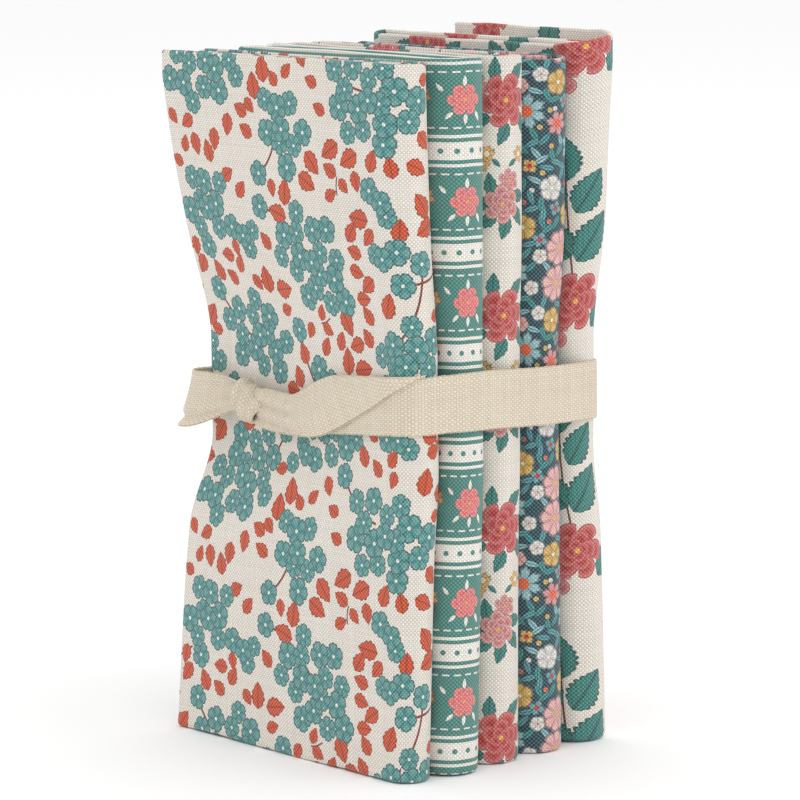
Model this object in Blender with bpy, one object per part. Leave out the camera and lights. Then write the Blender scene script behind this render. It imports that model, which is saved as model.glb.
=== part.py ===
"""Fat quarter bundle: five folded cuts of quilting cotton, stood on edge and tied with a cotton tape.

Metres, +Z up. The cuts stand side by side along Y, with the first at the front (-Y). Each cut's
smooth folded spine is at +X and its loose ends are at -X. The bundle rests on its lower edges.

Each cut is one back-and-forth section of six layers, seen from above: outer, middle and inner ones
at the front and at the back. The outer pair turns round the whole spine, the middle pair inside it,
and the inner pair inside that. Short turns join the layers at the loose side. A layer here stands
for the three thicknesses of cloth that lie there.
"""

import math
from typing import NamedTuple

import bmesh
import bpy
import numpy as np

MM = 0.001

# Cloth
FOLD_HEIGHT = 166.7 * MM  # a third of the 500 mm side
SPINE_LINE = 36.0 * MM  # x of the line through the spines, where their depths are given
RUN_PLACES = (-22.0 * MM, 8.0 * MM)  # x of the points that every straight run of a layer passes
RUN_CLEARANCE = 5.0 * MM  # least distance from such a point to the run's free end
LAYERS = 6
OUTER_FRONT, MIDDLE_FRONT, INNER_FRONT, INNER_BACK, MIDDLE_BACK, OUTER_BACK = range(LAYERS)
LAYER_GAP = 0.35 * MM
CUT_GAP = 0.45 * MM
EDGE_ROLL = 0.8 * MM  # height over which a layer thins to its rolled edge
EDGE_THINNING = 0.55  # what is left of a layer's thickness at that edge

# Tape
TAPE_THICKNESS = 1.0 * MM
TAPE_GAP = 0.45 * MM  # from the tape to the cloth it is drawn round
FLAT_CORNER = 1e-8  # square metres: corners flatter than this are left out of the outline
TAPE_STEP = 5.0 * MM  # distance between two sections of the tape
TAPE_CORNER_STEP = math.radians(20)
STEP_CLEARANCE = 0.15  # of a step: corners nearer than this to an even section get none of their own
WAIST = 2  # the level in LEVELS round which the tape is drawn

# Segments of each turn of the section
OUTER_TURN = 8
MIDDLE_TURN = 6
INNER_TURN = 4
LOOSE_TURN = 3


class Level(NamedTuple):
    """The stack of cuts at one height: places and depths in millimetres, cut by cut from the front."""

    share: float  # height as a share of the fold height
    front_spine: float  # y of the front at the spines
    front_loose: float  # y of the front at the loose side
    drawn_in: float  # how far the loose side is drawn in towards the spines
    bow: float  # how far the layers bow away from the middle of the stack
    spine_depths: tuple
    loose_depths: tuple


class Cut(NamedTuple):
    """One folded cut: places along X and rises of each layer's top edge, in millimetres."""

    name: str
    spine: float  # x of the outside of the spine
    front_turn: float  # x of the turn that joins the two front layers
    back_turn: float  # x of the turn that joins the middle and inner back layers
    inner_end: float  # x of the free end of the inner front layer
    outer_end: float  # x of the free end of the outer back layer
    rises: tuple  # of the layers from front to back
    colour: tuple


class TapeStation(NamedTuple):
    """The tape at one place of its way round the stack, in millimetres."""

    way: float  # share of the way round, from the knot's right side to its left side
    low: float  # height of the lower edge
    high: float  # height of the upper edge
    low_stand: float  # how far the lower edge stands off
    high_stand: float  # how far the upper edge stands off


class TailStation(NamedTuple):
    """The tape's free end at one distance from the knot's centre, in millimetres."""

    along: float
    low: float
    high: float
    stand: float  # from the cloth behind to the near face


LEVELS = (
    Level(0.000, -37.0, -35.5, 0.1, 0.0, (11.0, 14.7, 14.9, 15.1, 16.4), (13.0, 15.0, 15.0, 14.5, 14.5)),
    Level(0.300, -35.7, -31.8, 1.7, 0.8, (12.1, 13.5, 13.9, 14.4, 15.1), (12.5, 13.0, 13.5, 13.0, 13.0)),
    Level(0.440, -34.2, -27.0, 5.7, 0.0, (12.3, 12.4, 14.2, 12.9, 12.8), (10.5, 11.0, 11.5, 11.0, 11.0)),
    Level(0.575, -34.2, -27.0, 5.7, 0.0, (12.3, 12.4, 14.2, 12.9, 12.8), (10.5, 11.0, 11.5, 11.0, 11.0)),
    Level(0.750, -37.0, -31.5, 2.1, 0.8, (13.7, 14.8, 13.9, 14.8, 14.7), (13.5, 15.0, 13.5, 13.5, 13.0)),
    Level(0.860, -37.8, -34.6, 0.8, 0.4, (13.9, 15.8, 13.5, 15.3, 15.8), (14.6, 16.7, 14.4, 14.4, 13.9)),
    Level(0.965, -38.4, -36.9, 0.0, 0.0, (14.1, 16.5, 13.3, 15.8, 17.0), (15.5, 18.0, 15.0, 15.0, 14.5)),
)

CUTS = (
    Cut(
        "quarter_1_sprig", spine=42.6, front_turn=-44.3, back_turn=-43.0, inner_end=-42.0, outer_end=-43.4,
        rises=(0.2, -0.3, -0.9, -0.6, -0.4, -0.2), colour=(0.84, 0.80, 0.73),
    ),
    Cut(
        "quarter_2_stripe", spine=44.6, front_turn=-34.0, back_turn=-39.0, inner_end=-38.0, outer_end=-38.5,
        rises=(0.5, 0.7, 0.0, -0.3, 0.3, 0.4), colour=(0.16, 0.42, 0.37),
    ),
    Cut(
        "quarter_3_rose", spine=42.7, front_turn=-37.0, back_turn=-39.5, inner_end=-38.5, outer_end=-38.0,
        rises=(0.2, 0.5, -0.4, -0.2, 0.6, 0.3), colour=(0.83, 0.74, 0.66),
    ),
    Cut(
        "quarter_4_meadow", spine=42.0, front_turn=-30.9, back_turn=-38.0, inner_end=-37.0, outer_end=-36.5,
        rises=(-1.1, -0.6, -1.4, -1.0, -0.2, -0.8), colour=(0.10, 0.22, 0.27),
    ),
    Cut(
        "quarter_5_leaf", spine=41.0, front_turn=-38.0, back_turn=-40.5, inner_end=-39.0, outer_end=-20.0,
        rises=(1.6, 2.4, 0.9, 0.6, 1.8, 4.4), colour=(0.83, 0.80, 0.72),
    ),
)

TAPE = (
    TapeStation(0.000, 80.5, 87.2, 0.2, 0.2),
    TapeStation(0.020, 79.0, 86.4, 0.0, 0.0),
    TapeStation(0.045, 78.2, 86.0, 0.0, 0.0),
    TapeStation(0.066, 78.2, 87.8, 0.0, 0.0),
    TapeStation(0.081, 78.6, 89.8, 0.0, 0.0),
    TapeStation(0.106, 79.8, 92.6, 0.0, 0.0),
    TapeStation(0.166, 80.5, 94.0, 0.0, 0.0),
    TapeStation(0.426, 78.6, 92.0, 0.0, 0.0),
    TapeStation(0.700, 76.8, 90.2, 0.0, 0.0),
    TapeStation(0.830, 75.8, 89.2, 0.4, 0.2),
    TapeStation(0.885, 75.4, 88.6, 3.6, 1.6),
    TapeStation(0.920, 75.2, 88.4, 7.2, 3.6),
    TapeStation(0.940, 75.6, 88.6, 7.8, 4.2),
    TapeStation(0.960, 77.0, 88.8, 6.4, 3.8),
    TapeStation(0.982, 79.2, 88.4, 3.4, 2.4),
    TapeStation(1.000, 80.9, 87.6, 1.0, 1.0),
)

KNOT_AT = -16.5 * MM  # x
KNOT_HEIGHT = 83.8 * MM
KNOT_HALF_WIDTH = 4.3 * MM
KNOT_HALF_DEPTH = 2.9 * MM
KNOT_HALF_HEIGHT = 4.2 * MM
KNOT_TILT = math.radians(-20)
KNOT_SEGMENTS = 16
KNOT_RINGS = 10

TAIL = (
    TailStation(4.9, 80.0, 87.2, 4.4),
    TailStation(10.0, 78.0, 87.0, 4.2),
    TailStation(17.0, 76.4, 86.2, 3.4),
    TailStation(27.0, 76.6, 90.4, 3.0),
    TailStation(34.0, 78.6, 92.0, 2.9),
    TailStation(41.0, 81.6, 93.0, 2.9),
    TailStation(50.0, 85.2, 93.2, 2.9),
    TailStation(56.0, 87.8, 93.2, 2.8),
)

TAPE_COLOUR = (0.78, 0.69, 0.53)
CLOTH_ROUGHNESS = 0.9
SHARP_ANGLE = math.radians(35)


class PathPoint(NamedTuple):
    """A point of a section's middle line, with the direction across it and its half thickness."""

    place: np.ndarray
    across: np.ndarray
    half: float
    rise: float


def clear_scene():
    for obj in list(bpy.data.objects):
        bpy.data.objects.remove(obj, do_unlink=True)


def make_material(name, colour):
    material = bpy.data.materials.new(name)
    material.use_nodes = True
    shader = material.node_tree.nodes["Principled BSDF"]
    shader.inputs["Base Color"].default_value = (*colour, 1.0)
    shader.inputs["Roughness"].default_value = CLOTH_ROUGHNESS
    shader.inputs["Metallic"].default_value = 0.0
    return material


def add_object(name, points, faces, colour):
    mesh = bpy.data.meshes.new(name)
    mesh.from_pydata([tuple(point) for point in points], [], faces)
    mesh.validate()
    mesh.shade_smooth()
    mesh.set_sharp_from_angle(angle=SHARP_ANGLE)
    obj = bpy.data.objects.new(name, mesh)
    obj.data.materials.append(make_material(f"{name}_cloth", colour))
    bpy.context.scene.collection.objects.link(obj)
    return obj


class CutSection:
    """The plan of one cut at one level: where its layers lie between the loose side and the spine."""

    def __init__(self, cut, number, level):
        self.cut = cut
        self.number = number
        self.drawn_in = level.drawn_in * MM
        self.spine_x = (cut.spine - level.spine_depths[number] / 2) * MM
        self.loose_x = CUTS[0].front_turn * MM + self.drawn_in
        self.spine_front = (level.front_spine + sum(level.spine_depths[:number])) * MM
        self.loose_front = (level.front_loose + sum(level.loose_depths[:number])) * MM
        self.spine_depth = level.spine_depths[number] * MM - CUT_GAP
        self.loose_depth = level.loose_depths[number] * MM - CUT_GAP
        self.bow = level.bow * MM

    def share(self, x):
        """How far x lies from the loose side, 0, to the line through the spines, 1."""
        return (x - self.loose_x) / (SPINE_LINE - self.loose_x)

    def pitch(self, x):
        """The distance from one layer's middle to the next at x."""
        share = self.share(x)
        depth = self.loose_depth + share * (self.spine_depth - self.loose_depth)
        return (depth + LAYER_GAP) / LAYERS

    def layer_y(self, x, layer):
        """The y of the middle of a layer, numbered from 0 at the front, at x."""
        share = self.share(x)
        front = self.loose_front + share * (self.spine_front - self.loose_front)
        from_middle = 2 * (self.number + (layer + 0.5) / LAYERS) / len(CUTS) - 1
        fullness = np.interp(x, (self.loose_x, *RUN_PLACES, SPINE_LINE), (0, 1, 1, 0))
        pitch = self.pitch(x)
        return front + self.bow * from_middle * fullness + layer * pitch + (pitch - LAYER_GAP) / 2

    def half_thickness(self, x):
        return (self.pitch(x) - LAYER_GAP) / 2

    def rise(self, layer):
        return self.cut.rises[layer] * MM

    def on_layer(self, x, layer, side):
        """A point on a straight run. side is 1 where the path runs towards +X and -1 where it runs back."""
        place = np.array([x, self.layer_y(x, layer)])
        return PathPoint(place, np.array([0.0, side]), self.half_thickness(x), self.rise(layer))

    def run(self, layer, side, end=None):
        """The points of a straight run, from or to its free end where it has one."""
        places = [x for x in RUN_PLACES if end is None or x > end + RUN_CLEARANCE]
        if end is not None:
            places.insert(0, end)
        return [self.on_layer(x, layer, side) for x in places[::side]]

    def turn(self, x, start_layer, end_layer, outward, segments):
        """A half circle from one layer to another. outward is 1 at the spine and -1 at the loose side."""
        start_y = self.layer_y(x, start_layer)
        end_y = self.layer_y(x, end_layer)
        centre = np.array([x, (start_y + end_y) / 2])
        radius = abs(end_y - start_y) / 2
        upward = math.copysign(1.0, end_y - start_y)
        half = self.half_thickness(x)
        points = []
        for step in range(segments + 1):
            share = step / segments
            angle = math.pi * (share - 0.5)
            radial = np.array([outward * math.cos(angle), upward * math.sin(angle)])
            rise = self.rise(start_layer) + share * (self.rise(end_layer) - self.rise(start_layer))
            across = radial * -(outward * upward)
            points.append(PathPoint(centre + radius * radial, across, half, rise))
        return points

    def path(self):
        """The middle line, from the outer back layer's free end to the inner front layer's."""
        cut = self.cut
        turn_room = self.drawn_in + self.pitch(self.loose_x)
        front_turn = cut.front_turn * MM + turn_room
        back_turn = cut.back_turn * MM + turn_room
        points = self.run(OUTER_BACK, 1, cut.outer_end * MM + self.drawn_in)
        points += self.turn(self.spine_x, OUTER_BACK, OUTER_FRONT, 1, OUTER_TURN)
        points += self.run(OUTER_FRONT, -1)
        points += self.turn(front_turn, OUTER_FRONT, MIDDLE_FRONT, -1, LOOSE_TURN)
        points += self.run(MIDDLE_FRONT, 1)
        points += self.turn(self.spine_x, MIDDLE_FRONT, MIDDLE_BACK, 1, MIDDLE_TURN)
        points += self.run(MIDDLE_BACK, -1)
        points += self.turn(back_turn, MIDDLE_BACK, INNER_BACK, -1, LOOSE_TURN)
        points += self.run(INNER_BACK, 1)
        points += self.turn(self.spine_x, INNER_BACK, INNER_FRONT, 1, INNER_TURN)
        points += self.run(INNER_FRONT, -1, cut.inner_end * MM + self.drawn_in)
        return points


def section_ring(path, height, thinning=1.0, risen=0.0):
    """The closed outline of a section at a height: one side of the middle line, then the other back."""
    sides = []
    for sign in (-1, 1):
        side = []
        for point in path:
            x, y = point.place + sign * point.half * thinning * point.across
            side.append((x, y, height + risen * point.rise))
        sides.append(side)
    return sides[0] + sides[1][::-1]


def folded_cut(number, cut):
    """One folded cut as a closed solid, a ring of points for each level.

    The plan of the last level is carried straight up to each layer's own top edge.
    """
    paths = [CutSection(cut, number, level).path() for level in LEVELS]
    rings = [section_ring(paths[0], 0.0, EDGE_THINNING), section_ring(paths[0], EDGE_ROLL)]
    rings += [section_ring(path, level.share * FOLD_HEIGHT) for path, level in zip(paths[1:], LEVELS[1:])]
    rings.append(section_ring(paths[-1], FOLD_HEIGHT - EDGE_ROLL, risen=1.0))
    rings.append(section_ring(paths[-1], FOLD_HEIGHT, EDGE_THINNING, risen=1.0))
    size = len(rings[0])
    points = [point for ring in rings for point in ring]
    faces = []
    for low in range(len(rings) - 1):
        for corner in range(size):
            following = (corner + 1) % size
            a = low * size + corner
            b = low * size + following
            # Neighbouring faces of two layers are split along the same diagonal, so they keep their gap.
            if points[a][0] < points[b][0]:
                faces += [(a, b, b + size), (a, b + size, a + size)]
            else:
                faces += [(a, b, a + size), (b, b + size, a + size)]
    top = (len(rings) - 1) * size
    for corner in range(size // 2 - 1):
        across, across_next = size - 1 - corner, size - 2 - corner
        faces.append((corner, across, across_next, corner + 1))
        faces.append((top + corner, top + corner + 1, top + across_next, top + across))
    return add_object(cut.name, points, faces, cut.colour)


def waist_points():
    """The outline points of all the cuts where the tape goes round them."""
    points = []
    for number, cut in enumerate(CUTS):
        for point in CutSection(cut, number, LEVELS[WAIST]).path():
            for sign in (1, -1):
                points.append(tuple(point.place + sign * point.half * point.across))
    return points


def convex_outline(points):
    """The convex outline of plan points, counter-clockwise seen from above."""
    ordered = sorted(set(points))

    def half(sequence):
        chain = []
        for point in sequence:
            while len(chain) > 1 and turn_of(chain[-2], chain[-1], point) <= FLAT_CORNER:
                chain.pop()
            chain.append(point)
        return chain[:-1]

    return np.array(half(ordered) + half(ordered[::-1]))


def turn_of(a, b, c):
    """Twice the area of the triangle abc, positive where the line turns left at b."""
    return (b[0] - a[0]) * (c[1] - a[1]) - (b[1] - a[1]) * (c[0] - a[0])


class KnotPlace(NamedTuple):
    """Where the knot lies against the front cloth, and the outline's edge behind it."""

    place: np.ndarray
    along: np.ndarray  # towards +X
    outward: np.ndarray
    edge: int


def knot_place(outline):
    ends = np.roll(outline, -1, axis=0)
    edge = int(np.flatnonzero((outline[:, 0] <= KNOT_AT) & (ends[:, 0] > KNOT_AT))[0])
    along = (ends[edge] - outline[edge]) / np.linalg.norm(ends[edge] - outline[edge])
    place = outline[edge] + along * (KNOT_AT - outline[edge][0]) / along[0]
    return KnotPlace(place, along, np.array([along[1], -along[0]]), edge)


def way_round(outline):
    """Points on the outline with their outward directions, from the knot's right side round to its left."""
    knot, along, _, run = knot_place(outline)
    edges = np.roll(outline, -1, axis=0) - outline
    outward = np.stack([edges[:, 1], -edges[:, 0]], axis=1)
    outward /= np.linalg.norm(outward, axis=1)[:, None]
    clear = along * (KNOT_HALF_WIDTH + CUT_GAP)
    count = len(outline)
    stops = [(knot + clear, outward[run])]
    for step in range(1, count + 1):
        corner = (run + step) % count
        before, after = outward[(corner - 1) % count], outward[corner]
        opening = math.acos(max(-1.0, min(1.0, float(before @ after))))
        parts = max(1, math.ceil(opening / TAPE_CORNER_STEP))
        for part in range(parts + 1):
            direction = before * (parts - part) + after * part
            stops.append((outline[corner], direction / np.linalg.norm(direction)))
    stops.append((knot - clear, outward[run]))
    return stops


def resampled(stops, offset):
    """Evenly spaced stops on the way round at an offset, each with its share of the way."""
    line = np.array([place + outward * offset for place, outward in stops])
    directions = np.array([outward for _, outward in stops])
    lengths = np.concatenate([[0.0], np.cumsum(np.linalg.norm(np.diff(line, axis=0), axis=1))])
    count = math.ceil(lengths[-1] / TAPE_STEP)
    shares = np.linspace(0.0, 1.0, count + 1)
    for corner in lengths / lengths[-1]:
        if np.abs(shares - corner).min() > STEP_CLEARANCE / count:
            shares = np.append(shares, corner)
    shares = np.sort(shares)
    wanted = shares * lengths[-1]
    places = np.stack([np.interp(wanted, lengths, line[:, axis]) for axis in range(2)], axis=1)
    outward = np.stack([np.interp(wanted, lengths, directions[:, axis]) for axis in range(2)], axis=1)
    outward /= np.linalg.norm(outward, axis=1)[:, None]
    return shares, places, outward


def lofted_strip(name, sections, colour):
    """A closed strip through sections of four corners each."""
    points = [corner for section in sections for corner in section]
    faces = []
    for start in range(0, len(points) - 4, 4):
        for corner in range(4):
            following = (corner + 1) % 4
            faces.append((start + corner, start + following, start + 4 + following, start + 4 + corner))
    last = len(points) - 4
    faces.append((3, 2, 1, 0))
    faces.append((last, last + 1, last + 2, last + 3))
    return add_object(name, points, faces, colour)


def tape_round(outline):
    """The tape drawn round the stack, from one side of the knot to the other."""
    shares, places, outward = resampled(way_round(outline), TAPE_GAP)
    ways = [station.way for station in TAPE]
    columns = {
        field: np.interp(shares, ways, [getattr(station, field) * MM for station in TAPE])
        for field in ("low", "high", "low_stand", "high_stand")
    }
    sections = []
    for index, place in enumerate(places):
        corners = []
        for edge, extra in (("low", 0.0), ("high", 0.0), ("high", TAPE_THICKNESS), ("low", TAPE_THICKNESS)):
            plan = place + outward[index] * (columns[f"{edge}_stand"][index] + extra)
            corners.append((plan[0], plan[1], columns[edge][index]))
        sections.append(corners)
    return lofted_strip("tape_band", sections, TAPE_COLOUR)


def tape_knot(outline):
    behind, along, outward, _ = knot_place(outline)
    centre = behind + outward * (TAPE_GAP + KNOT_HALF_DEPTH)
    ball = bmesh.new()
    bmesh.ops.create_uvsphere(ball, u_segments=KNOT_SEGMENTS, v_segments=KNOT_RINGS, radius=1.0)
    points = []
    for vert in ball.verts:
        across = vert.co.x * KNOT_HALF_WIDTH
        up = vert.co.z * KNOT_HALF_HEIGHT
        tilted = across * math.cos(KNOT_TILT) - up * math.sin(KNOT_TILT)
        raised = across * math.sin(KNOT_TILT) + up * math.cos(KNOT_TILT)
        plan = centre + along * tilted - outward * vert.co.y * KNOT_HALF_DEPTH
        points.append((plan[0], plan[1], KNOT_HEIGHT + raised))
    faces = [tuple(vert.index for vert in face.verts) for face in ball.faces]
    ball.free()
    return add_object("tape_knot", points, faces, TAPE_COLOUR)


def tape_tail(outline):
    """The free end of the tape, laid over the band with its far end turned over the band's upper edge."""
    knot, along, outward, _ = knot_place(outline)
    sections = []
    for station in TAIL:
        plan = knot + along * station.along * MM
        near = plan + outward * (station.stand * MM)
        back = plan + outward * (station.stand * MM - TAPE_THICKNESS)
        low, high = station.low * MM, station.high * MM
        sections.append([(*back, low), (*back, high), (*near, high), (*near, low)])
    return lofted_strip("tape_tail", sections, TAPE_COLOUR)


def centre_on_origin(objects):
    """Puts the middle of the footprint at the origin. The underside already lies at zero."""
    corners = np.array([vert.co[:] for obj in objects for vert in obj.data.vertices])
    middle = (corners.min(axis=0) + corners.max(axis=0)) / 2
    for obj in objects:
        for vert in obj.data.vertices:
            vert.co.x -= middle[0]
            vert.co.y -= middle[1]


def main():
    clear_scene()
    objects = [folded_cut(number, cut) for number, cut in enumerate(CUTS)]
    outline = convex_outline(waist_points())
    objects += [tape_round(outline), tape_knot(outline), tape_tail(outline)]
    centre_on_origin(objects)


main()
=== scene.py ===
"""Fat quarter bundle: five folded cuts of printed quilting cotton, stood on edge and tied with a tape.

The cloth is one thin printed sheet for each cut, laid along the folds of its solid. All sizes are in
metres, or in millimetres in the tables and where a name says so. The tables of folds are the same as
the solids' own, and shift_of_table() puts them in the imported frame.
"""

import logging
import math
from dataclasses import dataclass, field
from enum import Enum, IntEnum
from functools import partialmethod
from typing import ClassVar, NamedTuple, Optional, Sequence, Union

import bpy
import numpy as np
from mathutils import Matrix, Vector


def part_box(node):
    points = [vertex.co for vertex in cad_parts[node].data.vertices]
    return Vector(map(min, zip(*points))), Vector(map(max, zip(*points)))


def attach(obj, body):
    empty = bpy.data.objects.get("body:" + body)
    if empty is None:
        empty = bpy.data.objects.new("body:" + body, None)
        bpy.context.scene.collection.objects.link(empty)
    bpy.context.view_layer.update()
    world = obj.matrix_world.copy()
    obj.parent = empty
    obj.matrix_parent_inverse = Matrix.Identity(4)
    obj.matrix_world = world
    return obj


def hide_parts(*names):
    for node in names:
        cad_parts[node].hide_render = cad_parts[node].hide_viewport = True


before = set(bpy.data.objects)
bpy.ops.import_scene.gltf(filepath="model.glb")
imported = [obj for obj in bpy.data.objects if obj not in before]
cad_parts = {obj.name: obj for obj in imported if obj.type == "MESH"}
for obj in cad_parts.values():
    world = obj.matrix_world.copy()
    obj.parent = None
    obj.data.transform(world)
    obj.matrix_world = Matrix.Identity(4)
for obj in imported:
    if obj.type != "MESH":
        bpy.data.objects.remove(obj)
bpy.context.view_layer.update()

LOG = logging.getLogger("fat_quarter_bundle")
MM = 0.001
Array = np.ndarray
Colour = tuple[float, float, float]
Place = tuple[float, float]
Spot = tuple[float, float, float]  # a place, and the radius round it that is taken
Value = Union[float, str, Sequence[float], "Term"]


def linear(red: int, green: int, blue: int) -> Colour:
    """The linear colour of a screen colour, whose parts go from 0 to 255."""
    parts = [channel / 255 for channel in (red, green, blue)]
    return tuple(part / 12.92 if part <= 0.04045 else ((part + 0.055) / 1.055) ** 2.4 for part in parts)


def beside(x: float, y: float, out: float, turned: float, squash: float = 1.0) -> Place:
    """The place some way out from another in a direction, with its Y part squashed."""
    return x + out * math.cos(turned), y + out * math.sin(turned) * squash


def summed(steps: Array) -> Array:
    """Places along a line, from 0, that lie these steps apart."""
    return np.concatenate([[0.0], np.cumsum(steps)])


def unit(vectors: Array) -> Array:
    """The vectors at length 1."""
    return vectors / np.linalg.norm(vectors, axis=-1, keepdims=True)


def new_object(name: str, data: bpy.types.ID) -> bpy.types.Object:
    """A new object in the scene, at the origin."""
    made = bpy.data.objects.new(name, data)
    bpy.context.scene.collection.objects.link(made)
    return made


# Fold tables -----------------------------------------------------------------------------------


class Layer(IntEnum):
    """The six layers of a folded cut, from the front."""

    OUTER_FRONT = 0
    MIDDLE_FRONT = 1
    INNER_FRONT = 2
    INNER_BACK = 3
    MIDDLE_BACK = 4
    OUTER_BACK = 5


class Level(NamedTuple):
    """The stack of cuts at one height: places and depths in millimetres, cut by cut from the front."""

    share: float  # height as a share of the fold height
    front_spine: float  # y of the front at the spines
    front_loose: float  # y of the front at the loose side
    drawn_in: float  # how far the loose side is drawn in towards the spines
    bow: float  # how far the layers bow away from the middle of the stack
    spine_depths: tuple[float, ...]
    loose_depths: tuple[float, ...]


class Cut(NamedTuple):
    """One folded cut: places along X and rises of each layer's top edge, in millimetres."""

    node: str
    spine: float  # x of the outside of the spine
    front_turn: float  # x of the turn that joins the two front layers
    back_turn: float  # x of the turn that joins the middle and inner back layers
    inner_end: float  # x of the free end of the inner front layer
    outer_end: float  # x of the free end of the outer back layer
    rises: tuple[float, ...]  # of the layers from front to back


LEVELS = (
    Level(0.000, -37.0, -35.5, 0.1, 0.0, (11.0, 14.7, 14.9, 15.1, 16.4), (13.0, 15.0, 15.0, 14.5, 14.5)),
    Level(0.300, -35.7, -31.8, 1.7, 0.8, (12.1, 13.5, 13.9, 14.4, 15.1), (12.5, 13.0, 13.5, 13.0, 13.0)),
    Level(0.440, -34.2, -27.0, 5.7, 0.0, (12.3, 12.4, 14.2, 12.9, 12.8), (10.5, 11.0, 11.5, 11.0, 11.0)),
    Level(0.575, -34.2, -27.0, 5.7, 0.0, (12.3, 12.4, 14.2, 12.9, 12.8), (10.5, 11.0, 11.5, 11.0, 11.0)),
    Level(0.750, -37.0, -31.5, 2.1, 0.8, (13.7, 14.8, 13.9, 14.8, 14.7), (13.5, 15.0, 13.5, 13.5, 13.0)),
    Level(0.860, -37.8, -34.6, 0.8, 0.4, (13.9, 15.8, 13.5, 15.3, 15.8), (14.6, 16.7, 14.4, 14.4, 13.9)),
    Level(0.965, -38.4, -36.9, 0.0, 0.0, (14.1, 16.5, 13.3, 15.8, 17.0), (15.5, 18.0, 15.0, 15.0, 14.5)),
)

SPRIG_CUT = Cut("quarter_1_sprig", 42.6, -44.3, -43.0, -42.0, -43.4, (0.2, -0.3, -0.9, -0.6, -0.4, -0.2))
STRIPE_CUT = Cut("quarter_2_stripe", 44.6, -34.0, -39.0, -38.0, -38.5, (0.5, 0.7, 0.0, -0.3, 0.3, 0.4))
ROSE_CUT = Cut("quarter_3_rose", 42.7, -37.0, -39.5, -38.5, -38.0, (0.2, 0.5, -0.4, -0.2, 0.6, 0.3))
MEADOW_CUT = Cut("quarter_4_meadow", 42.0, -30.9, -38.0, -37.0, -36.5, (-1.1, -0.6, -1.4, -1.0, -0.2, -0.8))
LEAF_CUT = Cut("quarter_5_leaf", 41.0, -38.0, -40.5, -39.0, -20.0, (1.6, 2.4, 0.9, 0.6, 1.8, 4.4))
CUTS = (SPRIG_CUT, STRIPE_CUT, ROSE_CUT, MEADOW_CUT, LEAF_CUT)

FOLD_HEIGHT = 166.7 * MM  # a third of the 500 mm side
SPINE_LINE = 36.0 * MM  # x of the line through the spines, where their depths are given
BOW_PLACES = (-22.0 * MM, 8.0 * MM)  # x between which the bow is full
LAYER_GAP = 0.35 * MM
CUT_GAP = 0.45 * MM
CLOTH_THICKNESS = 0.3 * MM


def shift_of_table() -> Array:
    """What takes the tables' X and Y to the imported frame, whose origin is the footprint's middle."""
    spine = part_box(STRIPE_CUT.node)[1].x - (STRIPE_CUT.spine * MM - CUT_GAP / 2)
    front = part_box(SPRIG_CUT.node)[0].y - LEVELS[-1].front_spine * MM
    return np.array((spine, front, 0.0))


class SmoothTable:
    """The columns of a table, passed through smoothly and without overshoot."""

    def __init__(self, places: Sequence[float], rows: Sequence[Sequence[float]]) -> None:
        """Keeps the rows and works out their slopes.

        Args:
            places: Where each row stands, rising.
            rows: The values of each row.
        """
        self.places = np.array(places, float)
        self.values = np.array(rows, float)
        steps = np.diff(self.places)[:, None]
        secants = np.diff(self.values, axis=0) / steps
        before, after = secants[:-1], secants[1:]
        product = before * after
        mean = np.where(product > 0, 2 * product / np.where(product > 0, before + after, 1.0), 0.0)
        self.slopes = np.vstack([secants[:1], mean, secants[-1:]])

    def at(self, wanted: Array) -> Array:
        """The columns at some places.

        Args:
            wanted: The places, which are held within the table's own.

        Returns:
            One row of values for each place.
        """
        wanted = np.clip(wanted, self.places[0], self.places[-1])
        row = np.clip(np.searchsorted(self.places, wanted, side="right") - 1, 0, len(self.places) - 2)
        step = (self.places[row + 1] - self.places[row])[:, None]
        part = (wanted - self.places[row])[:, None] / step
        low, high = self.values[row], self.values[row + 1]
        rise, fall = self.slopes[row] * step, self.slopes[row + 1] * step
        square, cube = part**2, part**3
        result = low * (2 * cube - 3 * square + 1) + high * (3 * square - 2 * cube)
        return result + rise * (cube - 2 * square + part) + fall * (cube - square)


STACK = SmoothTable(
    [level.share * FOLD_HEIGHT for level in LEVELS],
    [(*level[1:5], *level.spine_depths, *level.loose_depths) for level in LEVELS],
)


def smooth_step(value: Array) -> Array:
    """0 below 0, 1 above 1, and a soft step between."""
    held = np.clip(value, 0.0, 1.0)
    return held * held * (3 - 2 * held)


@dataclass
class Stretch:
    """Part of a folded section's middle line: lines along the path, each at every row of heights."""

    places: Array  # lines, rows, 2
    across: Array  # lines, rows, 2: unit vectors to the print's side of the outer panel
    pitch: Array  # lines, rows: the distance from one layer's middle to the next
    rises: Array  # lines: how far the layer's top edge rises
    room: Array  # lines: share of the baked picture that each line asks for

    @staticmethod
    def joined(parts: Sequence["Stretch"]) -> "Stretch":
        """All the parts as one stretch, in order."""
        names = ("places", "across", "pitch", "rises", "room")
        return Stretch(*(np.concatenate([getattr(part, name) for part in parts]) for name in names))


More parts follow.
